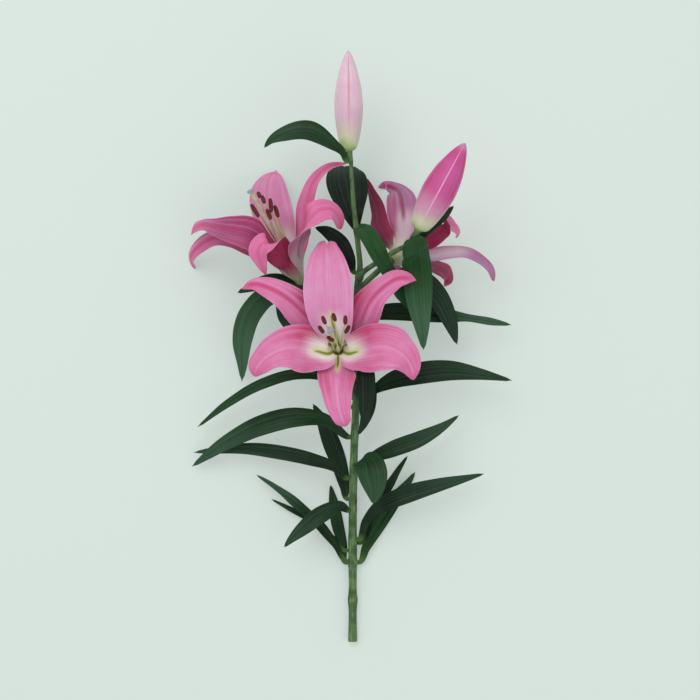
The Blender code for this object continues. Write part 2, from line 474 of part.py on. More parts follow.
def all_stalks():
    bud_base, bud_tip, _ = BUDS["bud_right"]
    lean = np.array(bud_tip, float) - np.array(bud_base, float)
    return {
        "stem": STEM,
        "front_stalk": with_neck(FRONT_STALK, *BLOOMS["front"][:2], NECK),
        "left_stalk": with_neck(LEFT_STALK, *BLOOMS["left"][:2], NECK),
        "right_stalk": with_neck(RIGHT_STALK, *BLOOMS["right"][:2], NECK),
        "bud_stalk": with_neck(BUD_STALK, bud_base, lean, BUD_NECK),
    }


def leaf_rows(spec, stalks):
    stalk, y, degrees, face_root, face_tip, points = spec
    _, out, root = route_at(stalks[stalk], y, degrees, SEAT_GAP + LEAF_THICKNESS / 4)
    lift = root + out * 2.5
    rows = [(*root, 2.2, 0.0), (*lift, 2.6, 0.05)] + list(points)
    share = np.linspace(0.0, 1.0, len(rows))[:, None]
    faces = (1 - share) * np.array(face_root, float) + share * np.array(face_tip, float)
    return np.hstack([np.array(rows, float), faces])


def make_leaves(collection, material, stalks):
    for name, spec in LEAVES.items():
        rows = leaf_rows(spec, stalks)
        make_blade(name, rows, LEAF_ROWS, LEAF_THICKNESS, collection, material)


def bloom_axes(bloom):
    base, axis, zero = (np.array(v, float) for v in bloom[:3])
    axis = unit(axis)
    first = unit(zero - axis * (zero @ axis))
    return base, axis, first, np.cross(axis, first)


def petal_rows(bloom, degrees, points):
    """The funnel's rows, whose six petals share one turned surface, then the petal's own rows."""
    base, axis, first, second = bloom_axes(bloom)
    angle = math.radians(degrees)
    if bloom[2] == (0, 1, 0):
        angle = -angle
    out = math.cos(angle) * first + math.sin(angle) * second
    rows = []
    for height, radius in bloom[4]:
        half = math.radians(30.0) - PETAL_SPACE / radius
        middle = base + axis * height + out * radius
        cup = (1 - math.cos(half)) / math.sin(half)
        rows.append((*middle, radius * math.sin(half), cup, *(axis * 0.4 - out)))
    return np.array(rows + [tuple(p) for p in points], float)


def make_petals(collection, material):
    for bloom_name, bloom in BLOOMS.items():
        for petal_name, (degrees, points) in bloom[3].items():
            rows = petal_rows(bloom, degrees, points)
            name = f"{bloom_name}_petal_{petal_name}"
            make_blade(name, rows, PETAL_ROWS, PETAL_THICKNESS, collection, material)


def make_pistil(bloom_name, collection, material):
    """The ovary, style and stigma with six filaments and their anthers, joined at the base."""
    base, axis, _, _ = bloom_axes(BLOOMS[bloom_name])
    anthers, stigma = PISTILS[bloom_name]
    stigma = np.array(stigma, float)
    foot = base + axis * (SEAT_GAP + 0.3)
    top = base + axis * OVARY_LENGTH
    route = [
        (*foot, PISTIL_BASE_RADIUS), (*(foot + axis * 2.5), PISTIL_BASE_RADIUS),
        (*(foot + axis * 4.5), OVARY_RADIUS), (*top, OVARY_RADIUS),
        (*(top + axis * 3.0), STYLE_RADIUS), (*(top + (stigma - top) * 0.55), STYLE_RADIUS),
        (*stigma, STYLE_RADIUS),
    ]
    pieces = [tube_mesh("ovary", route, FILAMENT_SIDES, collection, material)]
    tip = unit(stigma - top)
    pieces.append(ball("stigma", stigma, (STIGMA_RADIUS, 2.2), tip, 8, collection, material))
    for number, anther in enumerate(anthers):
        end, lie = np.array(anther[:3], float), anther[3:]
        out = end - base - axis * ((end - base) @ axis)
        out = unit(out) if np.linalg.norm(out) > 1 else unit(np.cross(axis, (1.0, 0.0, 0.0)))
        start = foot + axis * 1.2 + out * 1.8
        rise = foot + axis * 24.0 + out * 4.6
        route = spline([(*start, 1.0), (*rise, 1.0), (*end, 1.0)], 6)
        route[:, 3] = FILAMENT_RADIUS
        pieces.append(tube_mesh(f"filament_{number}", route, FILAMENT_SIDES, collection, material))
        size = (ANTHER_RADIUS, ANTHER_HALF_LENGTH)
        pieces.append(ball(f"anther_{number}", end, size, lie, 6, collection, material))
    return fuse(f"{bloom_name}_stamens", pieces, collection)


def make_bud(name, collection, material):
    """A closed bud: a spindle whose radius follows the profile, with three swollen outer petals."""
    base, tip, greatest = BUDS[name]
    base, tip = np.array(base, float), np.array(tip, float)
    axis = unit(tip - base)
    foot = base + axis * 2 * SEAT_GAP
    first = unit(np.cross(axis, (0.0, 1.0, 0.2)))
    second = np.cross(axis, first)
    sides = 18
    profile = np.array(BUD_PROFILE)
    angle = np.linspace(0.0, 2 * math.pi, sides, endpoint=False)[None, :, None]
    height = profile[:, 0][:, None, None] * np.linalg.norm(tip - foot)
    radius = greatest * profile[:, 1][:, None, None] * (1 + 0.05 * np.cos(3 * angle))
    ring = np.cos(angle) * first + np.sin(angle) * second
    points = (foot + axis * height + ring * radius).reshape(-1, 3)
    count = len(profile)
    ends = np.array([foot, tip + axis * 0.5])
    faces = []
    for i in range(count - 1):
        for j in range(sides):
            a, b = i * sides + j, i * sides + (j + 1) % sides
            faces.append((a, b, b + sides, a + sides))
    low, high = count * sides, count * sides + 1
    for j in range(sides):
        faces.append((low, (j + 1) % sides, j))
        last = (count - 1) * sides
        faces.append((high, last + j, last + (j + 1) % sides))
    return new_object(name, np.concatenate([points, ends]), faces, collection, material)


def main():
    clear_scene()
    collection = bpy.data.collections.new(COLLECTION)
    bpy.context.scene.collection.children.link(collection)
    materials = {name: make_material(name) for name in COLOURS}
    stalks = all_stalks()
    make_stem(collection, materials["stem"], stalks)
    make_leaves(collection, materials["leaf"], stalks)
    make_petals(collection, materials["petal"])
    for name in PISTILS:
        make_pistil(name, collection, materials["stamen"])
    for name in BUDS:
        make_bud(name, collection, materials["bud"])


main()
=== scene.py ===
"""The dressed look of a cut oriental lily that lies on a table.

Every piece is a surface of two parameters worked out with numpy. The values in the tables are in
millimetres from the middle of the stem's cut end: x to the right, y along the stem, z up. ORIGIN
takes them to the row frame, whose origin is the bottom centre of the whole lily's box.
"""

import json
import math

import bmesh
import bpy
import numpy as np
from bpy.props import FloatProperty, FloatVectorProperty, PointerProperty
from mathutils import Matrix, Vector

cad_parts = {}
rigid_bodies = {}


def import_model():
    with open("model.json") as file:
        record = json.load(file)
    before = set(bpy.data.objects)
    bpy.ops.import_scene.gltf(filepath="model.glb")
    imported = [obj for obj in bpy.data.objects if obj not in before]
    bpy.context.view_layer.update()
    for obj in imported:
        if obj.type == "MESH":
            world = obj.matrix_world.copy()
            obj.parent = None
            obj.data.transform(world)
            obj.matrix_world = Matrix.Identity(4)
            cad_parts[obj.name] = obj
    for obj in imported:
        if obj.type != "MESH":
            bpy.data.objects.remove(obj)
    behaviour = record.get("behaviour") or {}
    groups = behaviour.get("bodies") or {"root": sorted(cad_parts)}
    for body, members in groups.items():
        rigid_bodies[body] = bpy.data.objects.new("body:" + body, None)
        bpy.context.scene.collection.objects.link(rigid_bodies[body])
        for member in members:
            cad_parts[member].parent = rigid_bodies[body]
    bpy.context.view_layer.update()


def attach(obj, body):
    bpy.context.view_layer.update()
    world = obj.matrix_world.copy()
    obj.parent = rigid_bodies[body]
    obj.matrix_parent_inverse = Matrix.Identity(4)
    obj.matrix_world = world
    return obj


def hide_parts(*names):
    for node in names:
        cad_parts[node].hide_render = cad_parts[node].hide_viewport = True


bl_info = {
    "name": "Cut lily",
    "version": (1, 0, 0),
    "blender": (4, 5, 0),
    "location": "3D View > Sidebar > Lily",
    "description": "Leaves, petals, buds, stem and stamens of a cut oriental lily",
    "category": "Add Mesh",
}

for thing in list(bpy.data.objects):
    bpy.data.objects.remove(thing, do_unlink=True)
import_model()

MM = 0.001
ORIGIN = np.array([1.0, 329.5, 0.0])
# How far above the floor every piece stays, and blades: their backs, with the faces higher.
LEAST_HEIGHT = 0.05
BLADE_CLEARANCE, FACE_LIFT = 0.1, 0.4
WELD_METRES = 0.000002
# The camera stands above this x and y. At VIEW_HEIGHT, which is VIEW_DISTANCE below it, it sees
# HALF_VIEW to each side, in metres as are the floor's reach and the softboxes.
VIEW_CENTRE = np.array([0.0, 330.0])
VIEW_HEIGHT, VIEW_DISTANCE, HALF_VIEW = 0.08, 2.5, 0.385
# Softboxes: place, side and watts.
SOFTBOXES = {"key softbox": ((-0.9, 1.3, 2.4), 1.8, 27.0),
             "fill softbox": ((1.6, -0.9, 2.0), 2.0, 9.0)}
ROOM_LIGHT = 0.66
# The floor's reach, glow and the shares of its colour that its grain changes between.
FLOOR_REACH, FLOOR_GLOW, FLOOR_GRAIN = 6, 0.42, (0.61, 0.6)


def read_table(text):
    """The entries of a table by name, each as its values and its rows. An entry is a line with a
    name, a colon and the values, and the rows of numbers stand below it with commas between."""
    table = {}
    for line in text.strip().splitlines():
        name, colon, values = line.partition(":")
        if colon:
            rows = []
            table[name] = (values.split(), rows)
        else:
            rows += [[float(n) for n in row.split()] for row in line.split(",") if row.strip()]
    return table


# Stem and stalks: x, y, z and radius along each one.
ROUTES = read_table("""
stem:
    3 0 5 5.2, 3 40 6.4 5, 3 47 6.7 5.7, 3 54 7.2 4.9, 3 86 9 4.8, 3 139 15 4.6, 4 195 22 4.5,
    5 229 27 4.4, 7 274 34 4.3, 8 330 43 4.1, 8 374 51 3.9, 9 402 57 4.4, 11 423 61 3.2, 9 445 65 3,
    7 464 68 3, 4 489 72 2.5, 2 516 76 2.2, 1 536 79 2.2, -1 549 80 3.8
front_stalk:
    7 276 34 3.6, 3 290 40 3.2, -6 308 44 3.2
left_stalk:
    8 350 47 3.6, -8 361 50 3.2, -32 378 46 3.2
right_stalk:
    9 396 56 3.6, 18 405 67 3.2, 29 415 80 3.2
bud_stalk:
    10 410 59 3.4, 16 417 73 3, 28 425 84 2.8, 46 436 98 2.8
""")
# How a stalk ends below a bloom or a bud: distance before it and radius.
NECK = ((9.0, 3.2), (3.5, 4.6), (0.0, 5.4))
BUD_NECK = ((9.0, 3.0), (4.0, 3.4), (0.0, 4.4))
# Scars of dropped leaves: y, degrees round the stem and size.
LEAF_SCARS = ((47, 90, 2.2), (47, 0, 1.6), (47, 200, 1.6), (402, 20, 2.6), (300, 215, 1.8))
# The dished cut face: how far inside the end each ring lies and its share of the radius.
CUT_FACE = ((0.9, 0.4), (0.6, 0.75), (0.0, 0.96))

# Buds: base, tip, greatest radius and whether it is ripe. The profile is height and radius.
BUDS = {
    "bud_top": ((-1, 549, 80), (-2, 659, 86), 15.6, False),
    "bud_right": ((73.2, 459.5, 129), (123.5, 552, 146), 18.2, True),
}
BUD_PROFILE = ((0.0, 0.27), (0.045, 0.57), (0.14, 0.76), (0.28, 0.92), (0.44, 1.0), (0.6, 0.92),
               (0.76, 0.7), (0.88, 0.45), (0.96, 0.22), (1.0, 0.0))

# Leaves: stalk and y of the root, its degrees round the stalk from +X towards +Z, the way the face
# looks at the root and at the tip, how bright its green is and how grey its tip. Then x, y, z,
# half width and cup along it.
LEAVES = read_table("""
leaf_top_left: stem 537 135  0 .2 1  0 .4 1  .35 .25
    -8 546.5 86 4 .2, -20 556 88 7 .2, -46 570 88 11.5 .2, -72 567 84 9 .2, -88 560 78 4 .2,
    -95 553 73 1 0
leaf_behind_top: stem 462 270  0 .5 1  0 1 .2  -.2 .1
    3 481 60 12 .15, -1 501 50 21 .1, -4 519 36 23 .1, -6 533 18 17 0, -6 538 6 9 0, -5 533 -.5 3 0
leaf_behind_left: stem 414 220  0 .2 1  0 .2 1  -.3 0
    0 432 55 6 .15, -11 449 52 9 .15, -26 462 46 6.5 .1, -39 467 42 1.2 0
leaf_front_right: stem 460 90  .3 .6 1  .2 0 1  .9 0
    12 464 88 9 .15, 22 451 105 11.5 .15, 31 434 109 10.5 .12, 37.5 423 99.5 9 .1, 44 412 87 9.5 .1,
    52 399 83 8 .1, 59 386 80 5 .1, 66 373 77 1.2 0
leaf_bud_bract: bud_stalk 447 90  0 .8 .8  0 0 1  .7 .75
    67.2 450.5 130.5 3.5 .1, 68.3 450.4 133.6 8.5 .1, 69 447.5 133.4 12 .1, 69.8 443 130 14 .08,
    71.5 430 110 15.8 0, 73 417 95 16.5 0, 74.5 401 91.5 16 0, 76 382 90 14 .05, 79 354 86 8 .1,
    81 330 80 1.5 0
leaf_bud_back: bud_stalk 447 292  0 0 1  0 0 1  .1 .2
    91 466 109 4.5 .1, 102 476 106 5 .1, 113 487 104 1 0
leaf_right_hanging: stem 388 50  0 .5 1  .6 0 1  0 .1
    24 391 62 5.5 .15, 41 401 71 9 .15, 59 409 73 11.5 .1, 79 405 73 13 .1, 97 388 66 13 .1,
    111 362 52 10 .1, 120 336 38 1.5 0
leaf_right_level: stem 366 20  0 .4 1  0 -.5 1  .2 .7
    33 371 56 8 .15, 69 372 54 10 .15, 102 369 48 8.5 .1, 132 366 42 4.5 .1, 157 362 38 4.5 .1,
    181 358 34 1.2 0
leaf_left_hanging: stem 345 120  0 .3 1  -.3 0 1  .5 .8
    -22 372 66 7 .15, -55 391 73 10 .15, -86 392 70 12 .15, -109 372 56 13 .15, -120 341 38 11.5 .15,
    -121 313 24 6 .1, -122 294 16 1.2 0
leaf_left_bract: left_stalk 378 215  0 .3 1  0 .3 1  .1 .2
    -50 390 42 7 .15, -70 403 45 9.5 .15, -91 406 45 9 .15, -111 400 42 5.5 .1, -126 394 38 1.2 0
leaf_left_under: stem 322 200  0 0 1  0 0 1  0 .6
    -22 336 38 7 .15, -56 352 33 9.5 .15, -74 368 28 7.5 .1, -83 382 25 1.2 0
leaf_left_narrow: stem 266 165  0 0 1  0 .2 1  .4 .2
    -28 299 44 4.5 .2, -58 303 48 6 .2, -98 292 46 6 .2, -137 270 34 4.5 .2, -172 243 18 1 0
leaf_middle_front: stem 300 60  0 1 .8  0 0 1  -.2 .1
    12 316 58 6.5 .15, 17 306 70 9.5 .12, 18 284 70 9.5 .12, 17 261 65 6.5 .1, 16 242 60 1.2 0
leaf_middle_back: stem 305 350  0 .6 1  0 0 1  .1 .2
    18 303 44 6 .15, 21 285 48 8.5 .15, 20 265 46 8 .1, 15 247 42 4.5 .1, 9 235 39 1.2 0
leaf_right_long: stem 266 20  0 0 1  0 .2 1  .1 .2
    25 283 44 4 .2, 42 294 50 8.5 .2, 72 303 56 12 .18, 109 307 56 11.5 .15, 145 303 50 6.5 .15,
    181 296 42 1.2 0
leaf_left_long: stem 234 130  0 0 1  0 .3 1  .3 .5
    -28 252 44 7 .2, -61 255 52 11 .18, -98 246 48 11.5 .18, -137 227 32 8.5 .15, -164 209 16 4.5 .1,
    -179 198 9 1.2 0
leaf_right_raised: stem 196 30  0 0 1  0 .2 1  .2 .3
    22 207 32 5 .2, 47 219 40 9 .18, 76 230 44 9 .15, 103 244 42 5 .1, 122 257 38 1 0
leaf_front_broad: stem 202 80  0 1 .5  0 -.2 1  .4 .35
    10 205 44 8 .1, 21 206 56 14 .08, 25 193 64 16.5 .08, 27 175 64 11 .08, 26 159 60 1.5 0
leaf_left_middle: stem 186 150  0 0 1  0 .3 1  .1 .5
    -17 198 30 5 .2, -45 208 36 7.5 .2, -78 215 34 8 .2, -118 219 25 6.5 .15, -152 217 15 4 .1,
    -177 214 9 1 0
leaf_resting: stem 160 215  0 0 1  0 0 1  .1 .2
    -6 176 8 6 .1, -12 200 2 9 0, -22 227 .4 10 0, -31 249 .4 7 0, -42 269 .4 1.2 0
leaf_front_left: stem 150 120  0 0 1  -.2 0 1  .2 .35
    -11 155 34 6 .15, -31 147 42 9.5 .15, -52 131 42 8 .12, -65 119 38 4.5 .1, -74 109 34 1 0
leaf_low_right: stem 118 40  0 0 1  0 .2 1  .1 .3
    18 137 26 5 .2, 36 156 34 8.5 .18, 65 169 38 10 .15, 96 178 36 8 .15, 126 185 30 4.5 .1,
    151 191 26 1 0
leaf_low_right_edge: stem 112 350  -.5 .5 .8  -.5 .5 .8  .1 .2
    25 144 18 5 .2, 45 178 20 6 .2, 56 197 20 4 .1, 65 211 20 1 0
leaf_low_left_edge: stem 92 150  .5 .5 .8  .5 .5 .8  .2 .7
    -17 110 14 5 .2, -39 136 16 7 .2, -68 162 15 6 .2, -90 179 13 3.5 .1, -106 189 12 1 0
leaf_low_left_sliver: stem 104 190  .4 .4 .8  .4 .4 .8  .1 .2
    -20 118 8 3 .2, -51 141 7 4 .2, -70 151 6 3 .1, -89 161 6 .9 0
leaf_lowest_right: stem 88 335  0 0 1  0 0 1  .6 .3
    18 106 7 5 .15, 34 134 5 8 .1, 52 162 4 7.5 .1, 66 180 4 4 .1, 74 192 4 1 0
leaf_lowest_left: stem 90 205  0 0 1  0 0 1  .4 .1
    -8 109 6 5 .1, -14 132 3.5 7 .1, -18 154 3 6 .1, -22 177 3 1.2 0
""")

# The funnel that the feet of a bloom's six petals share: height along the axis and radius.
LONG_FUNNEL = ((-2.0, 3.0), (0.95, 4.2), (7.0, 6.2), (14.0, 9.4), (22.0, 13.4))
SHORT_FUNNEL = ((-2.0, 3.0), (0.95, 4.2), (7.0, 5.2), (13.0, 5.8), (18.0, 6.4))
# Blooms: base, axis, the direction of zero degrees, which way the degrees turn, and the funnel.
BLOOMS = {
    "front": ((-12.5, 325, 58), (-0.03, 0.3, 1.0), (0, 1, 0), -1, SHORT_FUNNEL),
    "left": ((-54, 405, 52), (-0.429, 0.776, 0.462), (0, 0, 1), 1, LONG_FUNNEL),
    "right": ((44, 428, 80), (0.52, 0.38, -0.765), (0, 0, 1), 1, LONG_FUNNEL),
}
PETALS_EACH = 6
# Petals: degrees round the bloom's axis, then the paint. Along the petal, in mm from its foot:
# where the white throat ends, its half width, where the green groove ends, where the deep rose
# flanks end. Then the deep rose on the flank with u below 0 and on the other, each partly the
# petal's own colour and partly painted shade cast by the petal beside. Then the midrib (pale
# above 0, deep rose below 0), the warmth of the pink, the depth of the back (how far the back is
# painted wine-dark: deep rose in painted shade), the wave of the margin, the side that the throat
# leans to, the share of painted shade in a dark purple-rose, and the tip: a notch in mm, or a
# point where it is below 0. Below stand x, y, z, half width, cup and face direction along it.
PETALS = read_table("""
front_petal_up: 0  76 13 72 78 .25 .15 .35 .15 .3 .5 0 0 5.5
    -14.7 344.5 83 11.5 .3 0 -.5 1, -17.3 353.5 95 19 .22 0 -.5 1, -20 364 103 23.6 .15 0 -.4 1,
    -22.4 378 108 26.3 .06 0 -.2 1, -23.8 395 110 27.2 0 0 0 1, -24.6 412 110 25.2 -.03 0 .1 1,
    -25.3 428 107 20.5 -.03 0 .2 1, -25.6 440 102 15.5 -.03 0 .3 1, -25.8 449.5 97.5 10.5 0 0 .4 1
front_petal_upper_right: 60  34 5 44 112 1 .2 -.75 .35 .3 .9 0 0 0
    1 340 77 8 .15 -.4 -.3 1, 8 352.5 83 15 .1 -.2 -.2 1, 14 367 89 18.5 .05 0 0 1,
    20 380 93 17.5 0 0 0 1, 27.5 390 96.5 14.5 0 0 0 1, 39.5 400.5 99.5 12 0 0 0 1,
    52 407.8 100.5 10 0 0 0 1, 63 408.3 101.5 6.5 0 0 0 1, 72.5 406 101 1.5 0 0 0 1
front_petal_lower_right: 120  62 11 49 96 .9 .35 .45 .35 .3 1.2 -1 0 0
    -2.5 325.5 82 13.5 .28 -.3 .1 1, 9 328.2 90.5 22.5 .1 -.3 0 1, 22 331.5 100 26 .06 -.2 0 1,
    36 333.5 106 25.5 0 0 0 1, 48 330 108.5 24.5 0 0 0 1, 59 323 106 18.5 -.05 .2 0 1,
    67 311 98 12 -.05 .3 -.2 1, 69.5 297 89 3 0 .2 -.3 1
front_petal_down: 180  44 5 42 90 .55 .55 .45 .3 .3 .7 0 0 0
    -13.2 316.5 75.5 7.5 0 0 .3 1, -14.3 307 80.5 20 .03 0 .2 1, -15 298 86.5 20.5 .03 0 .1 1,
    -14.5 286 90.5 17.5 0 0 0 1, -12.5 270 94.5 14.2 0 0 0 1, -9.5 258 93 10.7 0 0 -.2 1,
    -6.5 250 89 8 0 0 -.4 1, -5 246 86 5 0 0 -.5 1
front_petal_lower_left: 240  68 11 53 96 .35 .9 .45 .35 .3 1.2 1 0 0
    -23.8 325.5 82 13.5 .28 .3 .1 1, -36 328.2 89.5 22.5 .07 .3 0 1, -51 331.5 98.5 26.3 .04 .2 0 1,
    -67 332.6 107 23.4 0 0 0 1, -81 328.6 109 19 0 0 0 1, -93 320.6 105 14.8 -.05 -.2 0 1,
    -101.5 311 98 11.5 -.05 -.3 -.2 1, -105 301 90 5 0 -.3 -.3 1
front_petal_upper_left: 300  36 5 46 112 .2 1 -.75 .35 .3 1 0 0 0
    -27.5 340 77 8 .12 .4 -.3 1, -36 352.5 83 15.5 .1 .2 -.2 1, -46 366 89 19 .05 0 0 1,
    -57 377 93 18.5 0 0 0 1, -68 386.5 96 15.5 0 0 0 1, -81 394.5 98 13 0 0 0 1,
    -93.5 399.5 97 10.5 0 -.2 0 1, -105 402 93 6.5 0 -.3 0 1, -119 397 86 1.5 0 -.4 0 1
left_petal_down: -15  26 6 30 60 .7 .7 -.35 .9 1 .5 0 0 0
    -69 422 80 8.4 .3 -.5 .7 .2, -76 435 93 16 .25 -.5 .7 .1, -84 444 104 15 .1 -.6 .6 .3,
    -95 446 110 12 0 -.5 .1 .8, -100 438 107 11 0 -.3 -.3 .8, -97 425 98 7 0 -.1 -.5 .8,
    -92 412 89 1.5 0 0 -.5 .8
left_petal_right: 45  66 12 24 90 .5 .5 -.4 .8 .45 .5 0 0 0
    -57 435 81 10.5 .2 -.6 .5 -.2, -54 450 95 18 .1 -.6 .45 -.35, -46 467 106 17 0 -.7 .4 .2,
    -34 481 110 13.5 0 0 .4 .9, -21 483 102 13.5 0 .4 .5 .7, -12 473.5 91 11 0 .8 .2 .7,
    -9.5 463 83 6.5 0 .8 0 .7
left_petal_upper_right: 105  40 8 34 130 .2 .6 -.5 .5 .3 .5 0 .15 0
    -51 445 62 11 .3 -.8 0 .5, -50 471 68 13 .2 -.7 0 .7, -47 496 70 10 .2 -.5 0 .8,
    -39 518 66 7.5 .2 -.3 .3 .8, -22 534 58 4.5 .1 0 .5 .8, -3 538 50 1.5 0 .2 .5 .8
left_petal_up: 165  76 13 48 90 .3 .2 .3 .15 .3 .9 0 .3 -6
    -70 444 57 10.5 .3 0 -.2 1, -80 468 62 20 .1 0 0 1, -88 491 58 23 0 0 .4 1,
    -90 509 44 20.5 0 0 .7 .7, -89 522 25 14.5 0 0 1 .5, -85 532 6 5 0 0 1 .4
left_petal_lower_left: 225  34 8 30 130 .5 .4 -.7 .4 .5 .7 0 .6 0
    -87 435 52 9.5 .3 .2 .3 1, -110 447 58 13 .1 0 .1 1, -131 454 58 10.5 .05 -.1 0 1,
    -150 455 52 9 0 -.4 .1 1, -167 447 38 9 0 -.7 0 .7, -179 434 18 7.5 0 -.9 -.1 .6,
    -176.5 422 1 3.5 0 -.6 -.4 .8
left_petal_left: 285  34 8 30 130 .3 .3 -.55 .2 .5 .9 0 1 0
    -84 430 74 9 .3 .4 .5 .8, -95 447 86 15 .2 .1 .4 1, -111 458 92 18 .15 -.1 .2 1,
    -129 462 92 15 .1 -.1 0 1, -148 465 84 10 .1 -.3 0 1, -162 468 70 6 .1 -.6 0 .7,
    -172 465 58 5 0 -.8 0 .6, -177 458 50 1.5 0 -.8 0 .6
right_petal_upper: -52  78 11 40 130 .15 .7 -.5 .3 .25 .8 -1 .1 0
    59 474 62 17 .1 .1 -.7 -.6, 58 493 46 17.5 0 0 -.6 -.8, 56 506 26 14 0 0 -.8 -.6,
    50 513 8 8 0 .2 -.3 -.9, 41 517 -.5 5 0 0 0 -1, 32 514 9 2.5 0 -.5 0 -.8
right_petal_viewer: 8  30 6 30 80 .8 .8 -.3 .5 1 .5 0 .3 0
    82 453 84 15 .15 .5 .4 -.8, 98.5 465 88 14.5 .05 .5 .2 -.8, 108.5 469.5 82 11 0 .8 .3 .4,
    115.5 465 74 6 0 .8 0 .5, 119.5 460 66 5.5 0 .8 0 .5, 118 454 60 2.5 0 .6 -.5 .6
right_petal_right: 68  105 7 30 150 .1 .45 0 .2 .05 .4 0 0 0
    91 435 67 8 .15 0 .4 -.9, 111 438 66 7.5 .1 0 .3 -.9, 129 438 62 6.5 .1 0 .3 -.9,
    145 431 55 5.5 .1 -.2 0 -.9, 157 420 46 4.5 .1 -.3 0 -.9, 161 407 38 3 0 -.3 0 -.9
right_petal_lower_right: 128  30 6 30 90 .8 .8 -.3 .6 .75 .4 0 .3 0
    79 428 42 8.5 .1 .3 .7 -.6, 96 424 27 10 0 0 .7 -.7, 108 418 13 8 0 -.3 .4 -.8,
    112 410 3 5.5 0 -.3 0 -.9, 107 402 -1 2.5 0 0 0 -1
right_petal_lower: 188  30 6 30 80 .4 .4 -.2 .3 .2 .6 0 0 0
    52 422 37 11.5 .1 .6 .7 -.3, 55 411 24 16 0 .1 .8 -.5, 58 400 11 12 0 0 .6 -.8,
    59 390 2 7 0 0 .2 -.9, 59 383 -1 2.5 0 0 0 -1
right_petal_upper_left: 248  20 6 20 90 .9 .9 -.3 .6 1 .5 0 .75 0
    39.5 452.5 57.5 12.3 .15 .6 -.2 -.7, 33 468 49 13.5 .1 .6 -.2 -.7, 30 488 38 10 .1 .6 0 -.8,
    24 507 26 6 .1 .5 .2 -.8, 18 520 17 4 .1 .5 .4 -.7, 11 527 12 1.5 0 .4 .5 -.7
""")
# Stamens: the stigma at the end of the style, then the middle of each anther and its lie.
PISTILS = read_table("""
front: -21 351 150
    -28 362 136 .4 -.9 1.7, -17 365 140 .3 -.9 1.7, -5 362 136 0 -1 1.6, -31 352 128 .6 -.8 1.7,
    -3 352 128 -.5 -.9 1.7, -21 342 120 .7 -.5 1.7
left: -107 501 124
    -103 481 118 .52 -.85 0, -94 493 117 .35 -.9 1.5, -86 487 112 .1 -1 .3, -99 499 104 .3 -.6 1.6,
    -80 481 104 .3 -.9 .6, -88 477 116 .4 -.9 .9
right: 84 456 22
    82 440 36 .6 .3 -.7, 90 452 32 .6 .3 -.7, 84 466 30 .6 .3 -.7, 72 470 34 .6 .3 -.7,
    66 458 38 .6 .3 -.7, 72 445 34 .6 .3 -.7
""")

# Waxy plant tissue: a soft gloss, with light that goes 4 mm deep.
WAXY = {"IOR": 1.42, "Specular IOR Level": 0.35, "Subsurface Weight": 0.12,
        "Subsurface Scale": 0.004}
# What each skin lays over its first colour: a driving value, its low and high ends, the share at
# each end, a gate on that share (- for none) and the colour.
# On the face, the row gated by the painted shade share darkens the side blooms' petals as painted
# shade, and the deep rows lay deep rose that is partly painted shade from the petal beside.
PETAL_FACE = """
patchy .55 1.35 0 1 - petal_rose
streak .25 .75 .7 1 plum petal_plum
streak .3 .65 .6 1.15 deep petal_deep
fine .5 .72 0 .2 - petal_deep
fine .5 .3 0 .25 - petal_light
rib 0 1 0 .85 - petal_light
rib 0 -1 0 .85 - petal_deep
offset .478 .5 0 .6 - petal_light
fine .3 .7 1.15 .85 pale petal_white
green .05 .5 0 .85 - petal_yellow
green .45 .95 0 .95 - petal_green
"""
# On the back, the depth and deep rows paint wine-dark, which is deep rose in painted shade, and the
# row gated by the painted shade share darkens the side blooms' petals as painted shade.
PETAL_BACK = """
depth 0 1 0 .95 - back_wine
streak .3 .7 .6 1 plum back_plum
streak .42 .68 .5 1 deep back_wine
fine .45 .7 0 .3 light_back back_cream
fine .3 .7 .5 .34 pale petal_white
rib .05 .4 0 .7 light_back back_cream
rib -.05 -.6 0 .9 - back_rib
along .08 .3 .75 0 - back_cream
along .03 .16 .8 0 - bud_green
offset .478 .5 0 .45 - petal_light
"""
LEAF_FACE = """
mottle .6 1.9 0 1 - leaf_green
veins .5 .62 0 .22 - leaf_grey
fine .5 .8 0 .18 - leaf_grey
veins .3 .7 .75 1 grey leaf_grey
offset .01 .03 .4 0 - leaf_dark
"""
LEAF_BACK = "veins .2 .8 0 .8 - leaf_green"
LEAF_ROOT = "root 0 1 0 .7 - leaf_root"
STEM_SKIN = """
fibre .35 .7 0 .8 - stem_light
cloud .42 .7 0 .9 - stem_dark
scar 0 1 0 .65 - stem_scar
cut 0 1 0 1 - stem_cut
"""
BUD_SKIN = """
cloud .35 .75 0 .4 - {shade}
fine .4 .7 0 .3 - {shade}
seam 0 1 0 .4 - {seam}
rib 0 1 0 .75 - {ridge}
foot 0 .6 0 .65 - bud_blush
foot .5 .88 0 .85 - bud_cream
foot .84 1 0 .8 - bud_green
"""


def linear(hex_colour):
    """The linear red, green and blue of an sRGB hex colour."""
    parts = [int(hex_colour[i : i + 2], 16) / 255 for i in (1, 3, 5)]
    return tuple(c / 12.92 if c <= 0.04045 else ((c + 0.055) / 1.055) ** 2.4 for c in parts)


def tint(words, hex_colour):
    """A colour property whose default is the hex colour."""
    return FloatVectorProperty(name=words, description=f"{words} of the lily", subtype="COLOR",
                               size=3, min=0.0, max=1.0, default=linear(hex_colour))


def length(words, millimetres):
    """A length property whose default is given in millimetres."""
    return FloatProperty(name=words, description=f"{words}, as a real length", unit="LENGTH",
                         min=0.0, max=0.05, precision=5, default=millimetres * MM)


class LilySizes(bpy.types.PropertyGroup):
    """Real lengths that the pieces are made with"""

    leaf_thickness: length("Leaf thickness", 0.7)
    petal_thickness: length("Petal thickness", 0.9)
    margin_thickness: length("Margin thickness", 0.3)
    petal_wave: length("Petal margin wave", 1.8)
    leaf_wave: length("Leaf margin wave", 0.9)
    groove_depth: length("Midrib groove depth", 0.7)
    anther_length: length("Half anther length", 8.5)
    anther_width: length("Half anther width", 2.4)
    filament_radius: length("Filament radius", 0.8)
    style_radius: length("Style radius", 1.7)
    stigma_radius: length("Stigma radius", 3.9)


